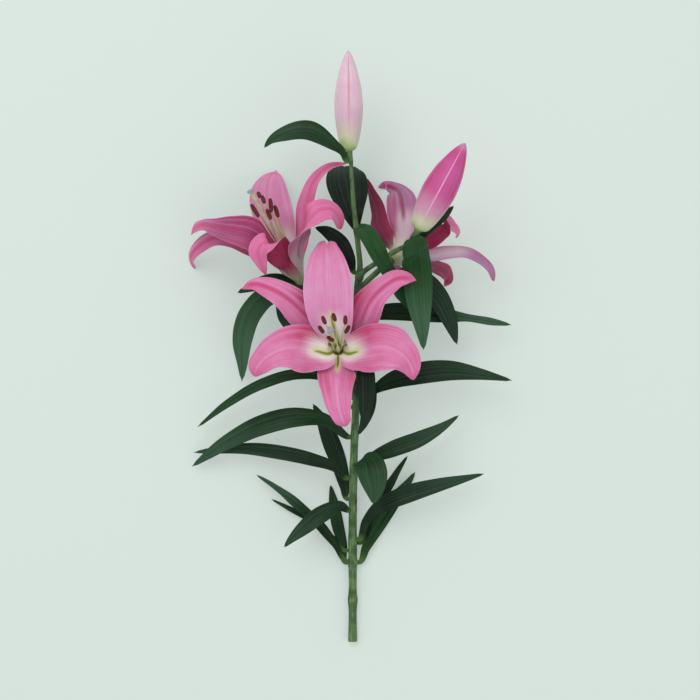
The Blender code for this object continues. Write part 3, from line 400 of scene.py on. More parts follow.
class LilyColours(bpy.types.PropertyGroup):
    """Colours that the skins are laid over in"""

    petal_rose: tint("Petal rose", "#e272a6")
    petal_mauve: tint("Petal mauve", "#de97c3")
    petal_light: tint("Petal margin and rib", "#efbcd6")
    petal_deep: tint("Petal deep rose", "#c42c66")
    petal_white: tint("Petal throat white", "#f6ecec")
    petal_yellow: tint("Throat yellow-green", "#d3d489")
    petal_green: tint("Nectary green", "#7f8425")
    # Painted shade in a dark purple-rose, laid over the side blooms' petals.
    petal_plum: tint("Petal plum shade", "#8c2e63")
    back_lilac: tint("Petal back lilac", "#ad6fa3")
    # Deep rose in painted shade, painted over the backs of petals.
    back_wine: tint("Petal back wine", "#9c1c4b")
    # Painted shade over the backs of the side blooms' petals.
    back_plum: tint("Petal back plum", "#471535")
    back_cream: tint("Petal back cream", "#d6cfb6")
    back_rib: tint("Petal back rib", "#8c1c46")
    leaf_dark: tint("Leaf dark green", "#0a190f")
    leaf_green: tint("Leaf green", "#1f4a1f")
    leaf_grey: tint("Leaf underside grey-green", "#4a6a52")
    leaf_root: tint("Leaf root green", "#5c7d3c")
    stem_green: tint("Stem green", "#476640")
    stem_light: tint("Stem light green", "#7b9a62")
    stem_dark: tint("Stem dark green", "#35522f")
    stem_cut: tint("Stem cut face", "#b9c49a")
    stem_scar: tint("Stem leaf scar", "#8a8a55")
    bud_pale: tint("Young bud pink", "#ecc9d8")
    bud_rose: tint("Ripe bud rose", "#cb5b9e")
    bud_blush: tint("Bud lower blush", "#cfaebd")
    bud_cream: tint("Bud foot cream", "#cbceac")
    bud_green: tint("Bud foot green", "#93b060")
    bud_rib: tint("Bud rib", "#b48b91")
    anther_maroon: tint("Anther maroon", "#451110")
    filament_green: tint("Filament green", "#b9bd85")
    stigma_grey: tint("Stigma grey-lilac", "#8b8196")
    floor_pale: tint("Floor pale green-grey", "#d8e3dd")


def unit(vectors):
    """Each vector divided by its own length."""
    return vectors / np.linalg.norm(vectors, axis=-1, keepdims=True)


def ease(x):
    """3 x^2 - 2 x^3 of x held between 0 and 1."""
    x = np.clip(x, 0.0, 1.0)
    return x * x * (3 - 2 * x)


def bell(x):
    """exp(-x^2)."""
    return np.exp(-(x**2))


def round_angles(count):
    """That many even angles once round, as one row."""
    return np.linspace(0.0, 2 * math.pi, count, endpoint=False)[None, :]


def spline(points, count):
    """A smooth curve through the points (Catmull-Rom by chord length), as count even steps."""
    points = np.asarray(points, float)
    steps = np.linalg.norm(np.diff(points[:, :3], axis=0), axis=1)
    # Points that coincide are held this far apart: 0.5 mm, or less in a profile from 0 to 1.
    least = 1e-3 if steps.max() < 2 else 0.5
    knots = np.concatenate([[0.0], np.cumsum(np.maximum(steps, least))])
    slopes = np.gradient(points, knots, axis=0)
    at = np.linspace(0.0, knots[-1], count)
    i = np.clip(np.searchsorted(knots, at, side="right") - 1, 0, len(knots) - 2)
    span = (knots[i + 1] - knots[i])[:, None]
    s = (at - knots[i])[:, None] / span
    return (
        (2 * s**3 - 3 * s**2 + 1) * points[i] + (s**3 - 2 * s**2 + s) * span * slopes[i]
        + (3 * s**2 - 2 * s**3) * points[i + 1] + (s**3 - s**2) * span * slopes[i + 1]
    )


def blade(rows, count, across, thickness, margin, relief, narrow, push=None):
    """A thin blade as one closed ring of columns: its face, then its back the other way.

    P(s, u) = M(s) + n(s) w(s) u S(s) + h(s, u) N(s) + push(s, u) A(s) +- t(s, u) N(s) / 2, where M
    is the spline through the rows, A its direction, S its side, N = S x A, w the half width, n
    the narrowing at the tip, h = n w cup u^2 + relief(s, u), and t falls from the thickness at
    the midrib to the margin's and to 0 on the edge itself. Nothing passes below the floor.
    """
    fine = spline(rows, count)
    s = np.linspace(0.0, 1.0, count)[:, None]
    u = np.sin(np.linspace(-0.5, 0.5, across) * math.pi * 0.86)
    u = np.concatenate([u / u[-1], u[-2:0:-1] / u[-1]])[None, :]
    back = np.concatenate([[0.5], np.zeros(across - 2), [0.5], np.ones(across - 2)])[None, :]
    along = unit(np.gradient(fine[:, :3], axis=0))
    side = unit(np.cross(along, fine[:, 5:8]))
    normal = np.cross(side, along)
    width = fine[:, 3:4] * narrow(s)
    thick = margin + (thickness - margin) * (1 - u**2) * ease(s / 0.03)
    thick = thick * np.clip((1 - np.abs(u)) * 1e3, 0, 1) * ease((1 - s) / 0.01)
    height = width * fine[:, 4:5] * u**2 + relief(s, u, width) + (0.5 - back) * thick
    points = (fine[:, None, :3] + side[:, None] * (width * u)[..., None]
              + normal[:, None] * height[..., None])
    if push is not None:
        points = points + along[:, None] * push(s, u)[..., None]
    points[..., 2] = np.maximum(points[..., 2], BLADE_CLEARANCE + FACE_LIFT * (1 - back))
    ring = np.append(u[0], u[0, 0]) * 0.5 + 0.5
    travelled = np.cumsum(np.r_[0.0, np.linalg.norm(np.diff(fine[:, :3], axis=0), axis=1)])
    return {"points": points, "across": ring, "along": s[:, 0], "s": s, "u": u,
            "t": travelled[:, None], "x": width * u, "fields": {"back": back}}


def swept(middle, radius, sides, first=(0.0, 0.0, 1.0)):
    """A tube P(s, a) = M(s) + r(s, a) (cos a X(s) + sin a Y(s)).

    X is carried along the path without twist, Y = A x X with A the path's direction, and rings
    of no radius at both ends close it.
    """
    middle = np.asarray(middle, float)
    along = unit(np.gradient(middle, axis=0))
    x = np.array(first, float)
    if abs(x @ along[0]) > 0.95 * np.linalg.norm(x):
        x = np.array([1.0, 0.0, 0.0])
    frames = []
    for a in along:
        x = unit(x - a * (a @ x))
        frames.append(x)
    x = np.array(frames)
    y = np.cross(along, x)
    angle = round_angles(sides)[..., None]
    radius = np.broadcast_to(np.asarray(radius, float).reshape(len(middle), -1),
                             (len(middle), sides))[..., None]
    ring = np.cos(angle) * x[:, None] + np.sin(angle) * y[:, None]
    points = middle[:, None] + ring * radius
    points = np.concatenate([points[:1] * 0 + middle[0], points, points[:1] * 0 + middle[-1]])
    steps = np.linalg.norm(np.diff(middle, axis=0), axis=1)
    along = np.concatenate([[0.0, 0.0], np.cumsum(steps), [steps.sum()]])
    return {"points": points, "across": np.linspace(0.0, 1.0, sides + 1), "along": along,
            "fields": {}}


def add_piece(name, shapes, material, node):
    """Makes one object of the shapes, welds its seams and poles, and sets it on the body root."""
    fields = sorted({field for shape in shapes for field in shape["fields"]})
    points, quads, places, values, start = [], [], [], {f: [] for f in fields}, 0
    for shape in shapes:
        grid = shape["points"]
        grid[..., 2] = np.maximum(grid[..., 2], LEAST_HEIGHT)
        rows, columns = grid.shape[:2]
        r, c = np.meshgrid(np.arange(rows - 1), np.arange(columns), indexing="ij")
        r = np.stack([r, r, r + 1, r + 1], -1).reshape(-1, 4)
        c = np.stack([c, c + 1, c + 1, c], -1).reshape(-1, 4)
        quads.append(start + r * columns + c % columns)
        places.append(np.stack([shape["across"][c], shape["along"][r]], -1).reshape(-1, 2))
        points.append((grid.reshape(-1, 3) - ORIGIN) * MM)
        for field in fields:
            value = shape["fields"].get(field, 0.0)
            values[field].append(np.broadcast_to(value, (rows, columns)).ravel())
        start += rows * columns
    mesh = bpy.data.meshes.new(name)
    mesh.from_pydata(np.concatenate(points).tolist(), [], np.concatenate(quads).tolist())
    layer = mesh.uv_layers.new(name="UVMap")
    layer.data.foreach_set("uv", np.concatenate(places).ravel().astype(np.float32))
    for field in fields:
        attribute = mesh.attributes.new(field, "FLOAT", "POINT")
        attribute.data.foreach_set("value", np.concatenate(values[field]).astype(np.float32))
    welded = bmesh.new()
    welded.from_mesh(mesh)
    bmesh.ops.remove_doubles(welded, verts=welded.verts, dist=WELD_METRES)
    bmesh.ops.dissolve_degenerate(welded, edges=welded.edges, dist=WELD_METRES / 2)
    welded.to_mesh(mesh)
    welded.free()
    mesh.shade_smooth()
    mesh.materials.append(material)
    piece = bpy.data.objects.new(name, mesh)
    bpy.context.scene.collection.objects.link(piece)
    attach(piece, "root")
    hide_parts(node)


def add_node(tree, kind, settings=(), inputs=(), output=0):
    """Adds a shader node with its settings, fills its inputs with values or links, gives a socket."""
    made = tree.nodes.new("ShaderNode" + kind)
    for name, value in dict(settings).items():
        setattr(made, name, value)
    for key, value in dict(inputs).items():
        if isinstance(value, bpy.types.NodeSocket):
            tree.links.new(value, made.inputs[key])
        else:
            made.inputs[key].default_value = value
    return made.outputs[output]


def new_material(name, constants):
    """A material of that name with a Principled shader whose own sockets hold the constants."""
    material = bpy.data.materials.new(name)
    material.use_nodes = True
    shader = material.node_tree.nodes["Principled BSDF"]
    for key, value in constants.items():
        shader.inputs[key].default_value = value
    return material, material.node_tree, shader


def rgba(colour):
    """The colour with a full alpha."""
    return (*colour, 1.0)


def lay_over(tree, colour, values, colours, table):
    """Lays the colour of each of the table's rows over those before it, with its share eased
    between the driving value's low and high ends."""
    for row in table.strip().splitlines():
        driver, *numbers, gate, over = row.split()
        low, high, first, last = map(float, numbers)
        share = add_node(tree, "MapRange", {"interpolation_type": "SMOOTHSTEP"}, {
            "Value": values[driver], "From Min": low, "From Max": high,
            "To Min": first, "To Max": last})
        share = add_node(tree, "Math", {"operation": "MULTIPLY", "use_clamp": True},
                         {0: share, 1: 1.0 if gate == "-" else values[gate]})
        colour = add_node(tree, "Mix", {"data_type": "RGBA"}, {
            0: share, 6: colour, 7: rgba(getattr(colours, over))}, 2)
    return colour


def skin_values(tree, fields, noises, cloud_scale):
    """What a plant skin's colours are driven by, by name: the piece's own fields, noises
    stretched along its UV map, a cloudy noise in Object coordinates, the place along the piece
    and how far it is from the middle of the face."""
    place = add_node(tree, "UVMap", {"uv_map": "UVMap"})
    split = add_node(tree, "SeparateXYZ", (), {0: place}).node
    values = {name: add_node(tree, "Attribute", {"attribute_name": name}, (), "Fac")
              for name in fields}
    for name, scale in noises.items():
        values[name] = add_node(tree, "TexNoise", {}, {
            "Vector": add_node(tree, "VectorMath", {"operation": "MULTIPLY"},
                               {0: place, 1: scale}), "Scale": 1.0, "Detail": 2.5})
    values["cloud"] = add_node(tree, "TexNoise", {}, {
        "Vector": add_node(tree, "TexCoord", (), (), "Object"), "Scale": cloud_scale,
        "Detail": 2.5})
    values["along"] = split.outputs[1]
    values["offset"] = add_node(tree, "Math", {"operation": "ABSOLUTE"}, {
        0: add_node(tree, "Math", {"operation": "SUBTRACT"}, {0: split.outputs[0], 1: 0.5})})
    return values


def finish_skin(tree, shader, colour, gloss, relief, strength, rough):
    """Links the colour, a roughness that changes between two values with the gloss noise, and a
    bump 0.6 mm high from the relief noise."""
    tree.links.new(colour, shader.inputs["Base Color"])
    tree.links.new(add_node(tree, "MapRange", {}, {
        "Value": gloss, "From Min": 0.3, "From Max": 0.7, "To Min": rough[0], "To Max": rough[1]}),
        shader.inputs["Roughness"])
    tree.links.new(add_node(tree, "Bump", {}, {
        "Strength": strength, "Distance": 0.0006, "Height": relief}), shader.inputs["Normal"])


def petal_material(colours):
    """Waxy petal skin: mauve and rose with fine lengthwise veins, deep rose flanks that are partly
    painted shade, a white throat with a green nectary groove, painted shade in a dark purple-rose
    over the side blooms' petals, and a duller lilac back with a cream foot and a rib, painted
    wine-dark where it stands for deep rose in shade."""
    material, tree, shader = new_material("waxy petal skin", {
        **WAXY, "Sheen Weight": 0.08, "Sheen Roughness": 0.5})
    # Veins 0.7 mm apart across a petal 45 mm wide, streaks 5 mm wide, clouds of 12 mm.
    values = skin_values(
        tree, ("back", "deep", "pale", "green", "warm", "rib", "depth", "plum"),
        {"fine": (58.0, 2.0, 1.0), "streak": (9.0, 1.3, 1.0)}, 85.0)
    cloudy = add_node(tree, "Math", {"operation": "MULTIPLY_ADD"},
                      {0: values["cloud"], 1: 0.5, 2: values["warm"]})
    values["patchy"] = add_node(tree, "Math", {"operation": "MULTIPLY_ADD"},
                                {0: values["streak"], 1: 0.8, 2: cloudy})
    values["light_back"] = add_node(tree, "Math", {"operation": "SUBTRACT", "use_clamp": True},
                                    {0: 1.0, 1: values["depth"]})
    face = lay_over(tree, rgba(colours.petal_mauve), values, colours, PETAL_FACE)
    behind = lay_over(tree, rgba(colours.back_lilac), values, colours, PETAL_BACK)
    skin = add_node(tree, "Mix", {"data_type": "RGBA"}, {0: values["back"], 6: face, 7: behind}, 2)
    finish_skin(tree, shader, skin, values["cloud"], values["fine"], 0.5, (0.42, 0.56))
    return material


def leaf_material(colours):
    """Leathery leaf: dark green with parallel veins, half-gloss, paler at the root and beneath."""
    material, tree, shader = new_material("leathery leaf skin", {
        "IOR": 1.42, "Specular IOR Level": 0.22, "Coat Weight": 0.03, "Coat Roughness": 0.3})
    # Main veins about 1.5 mm apart, with fine ones 0.4 mm apart between them.
    values = skin_values(tree, ("back", "light", "grey", "root"),
                         {"veins": (17.0, 0.5, 1.0), "fine": (60.0, 3.0, 1.0)}, 45.0)
    cloudy = add_node(tree, "Math", {"operation": "MULTIPLY_ADD"},
                      {0: values["cloud"], 1: 0.8, 2: values["light"]})
    values["mottle"] = add_node(tree, "Math", {"operation": "MULTIPLY_ADD"},
                                {0: values["veins"], 1: 0.9, 2: cloudy})
    green = lay_over(tree, rgba(colours.leaf_dark), values, colours, LEAF_FACE)
    under = lay_over(tree, rgba(colours.leaf_grey), values, colours, LEAF_BACK)
    skin = add_node(tree, "Mix", {"data_type": "RGBA"}, {0: values["back"], 6: green, 7: under}, 2)
    skin = lay_over(tree, skin, values, colours, LEAF_ROOT)
    ribs = add_node(tree, "Math", {"operation": "MULTIPLY_ADD"},
                    {0: values["fine"], 1: 0.35, 2: values["veins"]})
    finish_skin(tree, shader, skin, values["fine"], ribs, 0.7, (0.4, 0.56))
    return material


def stem_material(colours):
    """Fibrous stem skin: satin green with lengthwise fibres, darker patches, a pale cut face and
    brownish scars where leaves have dropped."""
    material, tree, shader = new_material("fibrous stem skin", {
        "IOR": 1.45, "Specular IOR Level": 0.35})
    # Fibres 0.6 mm apart round a stem 10 mm thick and 8 mm long, patches of 14 mm.
    values = skin_values(tree, ("cut", "scar"), {"fibre": (26.0, 0.06, 1.0)}, 70.0)
    skin = lay_over(tree, rgba(colours.stem_green), values, colours, STEM_SKIN)
    finish_skin(tree, shader, skin, values["cloud"], values["fibre"], 0.5, (0.45, 0.62))
    return material


def bud_material(name, colours, ripe):
    """Closed bud: waxy skin, pink above and cream-green at the foot, with a rib on each petal."""
    material, tree, shader = new_material(name, WAXY)
    # Fine veins 0.9 mm apart round the bud, clouds of 18 mm.
    values = skin_values(tree, ("rib", "seam", "low"), {"fine": (95.0, 0.03, 1.0)}, 55.0)
    cloudy = add_node(tree, "Math", {"operation": "SUBTRACT"}, {0: values["cloud"], 1: 0.5})
    values["foot"] = add_node(tree, "Math", {"operation": "MULTIPLY_ADD", "use_clamp": True},
                              {0: cloudy, 1: 0.35, 2: values["low"]})
    shade = "petal_deep" if ripe else "petal_mauve"
    table = BUD_SKIN.format(shade=shade, seam=shade if ripe else "bud_cream",
                            ridge="petal_light" if ripe else "bud_rib")
    skin = lay_over(tree, rgba(colours.bud_rose if ripe else colours.bud_pale), values, colours,
                    table)
    finish_skin(tree, shader, skin, values["cloud"], values["fine"], 0.35, (0.4, 0.52))
    return material


def grained_material(name, colour, second, grain, roughness, bump):
    """A skin whose colour changes between two close shades over grains of that size in mm."""
    material, tree, shader = new_material(name, {"IOR": 1.45})
    noise = add_node(tree, "TexNoise", {}, {
        "Vector": add_node(tree, "TexCoord", (), (), "Object"), "Scale": 1000.0 / grain,
        "Detail": 3.0})
    tree.links.new(add_node(tree, "Mix", {"data_type": "RGBA"}, {
        0: add_node(tree, "MapRange", {}, {"Value": noise, "From Min": 0.3, "From Max": 0.7}),
        6: rgba(colour), 7: rgba(second)}, 2), shader.inputs["Base Color"])
    tree.links.new(add_node(tree, "MapRange", {}, {
        "Value": noise, "To Min": roughness - 0.08, "To Max": roughness + 0.08}),
        shader.inputs["Roughness"])
    tree.links.new(add_node(tree, "Bump", {}, {
        "Strength": bump, "Distance": grain * MM * 0.4, "Height": noise}), shader.inputs["Normal"])
    return material


def route_at(route, y, degrees, extra):
    """Where a stalk's route passes y: the way out from it, and the point that far outside it."""
    steps = 200
    fine = spline(route, steps)
    i = int(np.argmin(np.abs(fine[:, 1] - y)))
    along = unit(fine[min(i + 1, steps - 1), :3] - fine[i - 1, :3])
    right = unit(np.cross(along, (0.0, 0.0, 1.0)))
    above = np.cross(right, along)
    angle = math.radians(degrees)
    out = math.cos(angle) * right + math.sin(angle) * above
    return out, fine[i, :3] + out * (fine[i, 3] + extra)


def all_stalks():
    """Each stalk's route, where a flower stalk ends straight along the axis of what it carries:
    its last points are base - distance * axis."""
    stalks = {name: list(rows) for name, (_, rows) in ROUTES.items()}
    ends = {name + "_stalk": (*bloom[:2], NECK) for name, bloom in BLOOMS.items()}
    base, tip = BUDS["bud_right"][:2]
    ends["bud_stalk"] = (base, np.subtract(tip, base), BUD_NECK)
    for name, (base, axis, neck) in ends.items():
        base, axis = np.array(base, float), unit(np.array(axis, float))
        stalks[name] += [(*(base - axis * back), radius) for back, radius in neck]
    return stalks


def leaf_shape(number, leaf, sizes, stalks):
    """One leaf: its relief is a V-shaped midrib groove, two soft folds and a waved margin. Its
    root is paler over 9 mm, and over 20 mm on the lowest leaves.

    h = wave |u|^3 sin(pi s)^0.7 sin(2 pi k s + phase) - groove exp(-(u / 0.08)^2)
        + 0.35 exp(-((|u| - 0.5) / 0.2)^2) sin(pi s), k between 2 and 3.
    """
    (stalk, *values), points = leaf
    y, degrees, *faces, light, grey = map(float, values)
    # The root comes out of the stalk in three points, half 2.2 to 2.6 mm wide and almost flat.
    out, root = route_at(stalks[stalk], y, degrees, 0.55)
    rows = [(*(root - out * 1.6), 2.2, 0.0), (*root, 2.2, 0.0), (*(root + out * 2.5), 2.6, 0.05),
            *points]
    share = np.linspace(0.0, 1.0, len(rows) - 1)[:, None]
    faces = (1 - share) * np.array(faces[:3]) + share * np.array(faces[3:])
    rows = np.hstack([np.array(rows, float), np.vstack([faces[:1], faces])])
    wave, groove = sizes.leaf_wave / MM, sizes.groove_depth / MM

    def relief(s, u, width):
        room = np.minimum(width / 6.0, 1.0)
        ripple = np.sin(2 * math.pi * (2.0 + 0.3 * (number % 4)) * s + 1.9 * number
                        + np.where(u > 0, 2.1, 0.0))
        fold = bell((np.abs(u) - 0.5) / 0.2) * np.sin(math.pi * s)
        return room * (wave * np.abs(u) ** 3 * np.sin(math.pi * s) ** 0.7 * ripple
                       - groove * bell(u / 0.08) + 0.35 * fold)

    def narrow(s):
        return 1 - 0.85 * ease((s - 0.965) / 0.035)

    shape = blade(rows, 90, 21, sizes.leaf_thickness / MM, sizes.margin_thickness / MM,
                  relief, narrow)
    root_reach = 9 + 11 * ease((130 - y) / 20)
    shape["fields"].update({"light": light, "grey": grey * ease((shape["s"] - 0.45) / 0.4),
                            "root": 1 - ease((shape["t"] - 3) / root_reach)})
    return shape


def petal_rows(bloom, degrees, points):
    """The funnel's rows, then the petal's own. The six petals of a bloom share its funnel, a turned
    surface, and each takes 60 degrees of it, less 0.2 mm at each edge."""
    base, axis, zero = (np.array(v, float) for v in bloom[:3])
    turn, funnel = bloom[3:]
    axis = unit(axis)
    first = unit(zero - axis * (zero @ axis))
    second = np.cross(axis, first)
    angle = math.radians(turn * degrees)
    out = math.cos(angle) * first + math.sin(angle) * second
    rows = []
    for height, radius in funnel:
        half = math.radians(30.0) - 0.2 / radius
        middle = base + axis * height + out * radius
        cup = (1 - math.cos(half)) / math.sin(half)
        rows.append((*middle, radius * math.sin(half), cup, *(axis * 0.4 - out)))
    return np.array(rows + points, float)


def petal_shape(number, bloom, petal, sizes):
    """One petal: its relief is a midrib groove between two ridges and a ruffled margin.

    h = wave |u|^2.5 sin(pi s)^0.8 sin(2 pi k s + phase) - groove exp(-(x / 1.3)^2)
        + 0.6 groove exp(-((|x| - 3.2) / 1.6)^2), fading where the petal is narrow. A notch draws
    the tip's edge back by push = -notch (exp(-((u - 0.12) / 0.16)^2) + 1 - sqrt(1 - u^2)) near
    s = 1, which makes two round lobes, and a point draws it out by exp(-((u - 0.25) / 0.3)^2)
    times its length. The paint is in mm: t along the midrib and x across it, and it reaches
    further across on the side that the throat leans to.
    """
    values, points = petal
    (degrees, white, half, green, rose, low, high, rib, warmth, depth, ruffle, lean, plum,
     notch) = map(float, values)
    rows = petal_rows(bloom, degrees, points)
    wave, groove = sizes.petal_wave / MM * ruffle, sizes.groove_depth / MM

    def relief(s, u, width):
        room = np.minimum(width / 12.0, 1.0) * ease((s - 0.1) / 0.15)
        ripple = np.sin(2 * math.pi * (2.6 + 0.4 * (number % 3)) * s + 1.3 * number
                        + np.where(u > 0, 1.7, 0.0))
        x = u * width
        return room * (wave * np.abs(u) ** 2.5 * np.sin(math.pi * s) ** 0.8 * ripple
                       - groove * bell(x / 1.3) + 0.6 * groove * bell((np.abs(x) - 3.2) / 1.6))

    def narrow(s):
        # A tip without a notch is round over its last 0.07.
        if notch > 0:
            return 1 + 0 * s
        return np.sqrt(np.clip(1 - (np.clip(s - 0.93, 0, 1) / 0.0701) ** 2, 0.0004, 1))

    def push(s, u):
        if notch < 0:
            return -notch * bell((u - 0.25) / 0.3) * ease((s - 0.9) / 0.1)
        lobes = notch * bell((u - 0.12) / 0.16) + notch * (1 - np.sqrt(1 - 0.999 * u**2))
        return -lobes * ease((s - 0.86) / 0.14) * (0.8 + 0.2 * np.sign(0.12 - u))

    shape = blade(rows, 130, 41, sizes.petal_thickness / MM, sizes.margin_thickness / MM,
                  relief, narrow, push)
    s, u, t, x = (shape[key] for key in ("s", "u", "t", "x"))
    # The deep rose on each flank is partly the petal's own colour and partly painted shade cast by
    # the petal beside it.
    flank = np.where(u < 0, low, high) * ease(np.abs(u) / 0.55) * (
        ease((t - 24) / 14) * ease((rose - t) / 40))
    spread = np.where(x * lean > 0, 2.4, 0.75) if lean else 1.0
    core = bell(x / (0.7 + 1.3 * ease((green - t) / 18)) / spread**0.5) * ease((green - t) / 10)
    glow = bell(x / 4.4 / spread**0.6) * ease((green + 9 - t) / 18)
    patch = np.abs(x) / (half * (np.where(x * lean > 0, 1.45, 0.7) if lean else 1.0))
    line = bell(x / (1.7 if rib > 0 else 3.0)) * ease((t - green) / 22)
    beside = bell((x - 4.5) / 1.3) if rib < 0 else bell((x + 2.6 * (lean or 1)) / 1.1)
    line = line - 0.55 * beside * ease((t - green) / 22)
    # The share of painted shade darkens a side bloom's petal all but its tip.
    shape["fields"].update({
        "pale": ease((white - t) / 26) * np.exp(-(patch**3)),
        "green": np.maximum(core, 0.42 * glow), "deep": flank + 0.35 * ease((s - 0.88) / 0.12),
        "rib": rib * line * ease((1 - s) / 0.1), "warm": warmth + 0.25 * ease((s - 0.6) / 0.4),
        "depth": depth, "plum": plum * ease((0.99 - s) / 0.35)})
    return shape


def bud_shape(spec):
    """A closed bud: P(h, a) = F + h L A + R p(h) q(h, a) (cos a X + sin a Y), where p is the
    profile and q = 1 + 0.05 cos 3a + rib - seam, with a rib along each outer petal's middle at
    a = 0, 120 and 240 degrees and a seam between each two of them."""
    base, tip, greatest, ripe = spec
    base, tip = np.array(base, float), np.array(tip, float)
    axis = unit(tip - base)
    profile = spline(np.array(BUD_PROFILE), 110)
    height, reach = profile[:, 0], np.clip(profile[:, 1], 0.0, 1.05)
    sides = 96
    angle = round_angles(sides)
    turn = (angle + math.pi / 3) % (2 * math.pi / 3) - math.pi / 3
    from_seam = math.pi / 3 - np.abs(turn)
    h = height[:, None]
    fade = ease(h / 0.1) * ease((1 - h) / 0.1)
    rib, seam, keel = bell(turn / 0.075), bell(from_seam / 0.07), bell(from_seam / 0.2)
    q = 1 + 0.05 * np.cos(3 * angle) + fade * (0.035 * rib + 0.03 * keel - 0.075 * seam)
    middle = base + axis * (height * np.linalg.norm(tip - base))[:, None]
    up = np.array([0.0, 0.0, 1.0]) - axis * axis[2]
    shape = swept(middle, greatest * reach[:, None] * q, sides, up)
    pad = np.concatenate([[0], np.arange(len(height)), [len(height) - 1]])
    line = bell(turn / 0.035) if ripe else rib
    low = np.clip(1.03 - h / (0.46 if ripe else 0.62), 0.0, 1.0)
    tipped = ease((h - 0.88) / 0.1) * 0.42 if ripe else ease((h - 0.965) / 0.03) * 0.9
    shape["fields"] = {
        "rib": (line * np.sqrt(fade))[pad], "seam": (np.maximum(seam, 0.7 * keel) * fade)[pad],
        "low": np.maximum(low, tipped)[pad]}
    return shape


def stem_shapes(stalks):
    """The main stem, its four stalks and the scars of dropped leaves, as tubes along their routes.

    r(s, a) = r(s) (1 + 0.012 cos(7 a) + 0.01 sin(y / 9 + 2 a)) + 0.35 exp(-((y - y_leaf) / 4)^2)
    at each leaf, and each stalk widens by 0.5 exp(-(t / 6)^2) of its radius at its root. A scar
    is a ball, flattened to 0.9 of its size outwards.
    """
    shapes = []
    angle = round_angles(32)
    for name, route in stalks.items():
        fine = spline(route, 460 if name == "stem" else 90)
        middle, radius, y = fine[:, :3], fine[:, 3:4], fine[:, 1:2]
        full = radius * (1 + 0.012 * np.cos(7 * angle) + 0.01 * np.sin(y / 9 + 2 * angle))
        if name == "stem":
            for (stalk, at, *_), _ in LEAVES.values():
                if stalk == "stem":
                    full = full + 0.35 * bell((y - float(at)) / 4)
            shapes.append(tube_with_cut(middle, full))
            continue
        travelled = np.cumsum(np.r_[0, np.linalg.norm(np.diff(middle, axis=0), axis=1)])
        shapes.append(swept(middle, full * (1 + 0.5 * bell(travelled[:, None] / 6)), 32))
    for y, degrees, size in LEAF_SCARS:
        out, point = route_at(stalks["stem"], y, degrees, -1.4)
        t = np.linspace(-1.0, 1.0, 14)
        middle = point + out * (t * size * 0.9)[:, None]
        shapes.append(swept(middle, size * 1.15 * np.sqrt(1 - t**2), 20, (0, 1, 0)))
        shapes[-1]["fields"]["scar"] = 1.0
    return shapes


def tube_with_cut(middle, full):
    """The main stem: P(y, a) = M(y) + r(y, a) (cos a S - sin a U) with S across the stem and U
    above it, whose first rings make the dished cut face."""
    along = unit(np.gradient(middle, axis=0))
    inward = np.array([(0.0, depth, 0.0) for depth, _ in CUT_FACE])
    shares = np.array([[share] for _, share in CUT_FACE])
    middle = np.vstack([middle[:1] + inward, middle])
    full = np.vstack([full[:1] * shares, full])
    along = np.vstack([along[:1]] * len(CUT_FACE) + [along])
    side = unit(np.cross(along, (0.0, 0.0, 1.0)))[:, None]
    above = np.cross(side, along[:, None])
    angle = round_angles(full.shape[1])[..., None]
    points = middle[:, None] + full[..., None] * (np.cos(angle) * side + np.sin(-angle) * above)
    points = np.concatenate([points[:1] * 0 + middle[0] + [0, 0.1, 0], points,
                             points[:1] * 0 + middle[-1]])
    flat = 1 + len(CUT_FACE)
    stem_length = 560
    travelled = np.linspace(0, stem_length, len(points) - flat - 1)
    cut = np.zeros((len(points), 1))
    cut[:flat] = 1.0
    return {"points": points, "across": np.linspace(0, 1, full.shape[1] + 1),
            "along": np.concatenate([[0] * flat, travelled, [stem_length]]),
            "fields": {"cut": cut}}


def stamen_shapes(bloom_name, sizes):
    """Filaments with the style, anthers, and stigma of one bloom, as three lists of tubes.

    A filament runs from the ovary's foot to its anther. An anther is a bean: r(t, a) =
    width (1 - t^2)^0.25 (1 - 0.28 exp(-(a / 0.5)^2) - 0.15 exp(-((|a| - pi) / 0.4)^2)), bent by
    0.9 t^2. The stigma is a knob with three lobes: r = R sqrt(1 - t^2) (1 + 0.2 cos 3a).
    """
    base, axis = (np.array(v, float) for v in BLOOMS[bloom_name][:2])
    axis = unit(axis)
    stigma, anthers = PISTILS[bloom_name]
    stigma = np.array(stigma, float)
    top = base + axis * 26.0
    style = sizes.style_radius / MM
    fine = spline([
        (*(base + axis * 0.2), 3.2), (*(base + axis * 3.0), 2.6), (*(base + axis * 8.0), 2.2),
        (*top, 2.3), (*(top + axis * 3.0), style), (*(top + (stigma - top) * 0.55), style),
        (*stigma, style * 1.25)], 90)
    styles = [swept(fine[:, :3], fine[:, 3:4] * (1 + 0.08 * np.cos(6 * round_angles(18))), 18)]
    t = np.linspace(-1.0, 1.0, 20)[:, None]
    round_off = np.sqrt(1 - t**2)
    knob = sizes.stigma_radius / MM * round_off * (1 + 0.2 * np.cos(3 * round_angles(36)))
    knobs = [swept(stigma + unit(stigma - top) * (t * 2.0 + 0.4), knob, 36)]
    angle = (round_angles(24) + math.pi) % (2 * math.pi) - math.pi
    bean = sizes.anther_width / MM * np.sqrt(round_off) * (
        1 - 0.28 * bell(angle / 0.5) - 0.15 * bell((np.abs(angle) - math.pi) / 0.4))
    taper = sizes.filament_radius / MM * (1.15 - 0.55 * np.linspace(0, 1, 50))[:, None]
    filaments, beans = [], []
    for anther in anthers:
        end, lie = np.array(anther[:3]), unit(np.array(anther[3:]))
        out = unit(end - base - axis * ((end - base) @ axis))
        start = base + axis * 1.5 + out * 1.8
        rise = base + axis * 24.3 + out * 4.6
        path = spline([start, rise, end], 50)
        filaments.append(swept(path, taper, 12))
        bend = np.cross(unit(np.cross(lie, axis)), lie)
        middle = end + lie * (t * sizes.anther_length / MM) + bend * (0.9 * t**2 - 0.3)
        beans.append(swept(middle, bean, 24, bend))
    return filaments + styles, beans, knobs


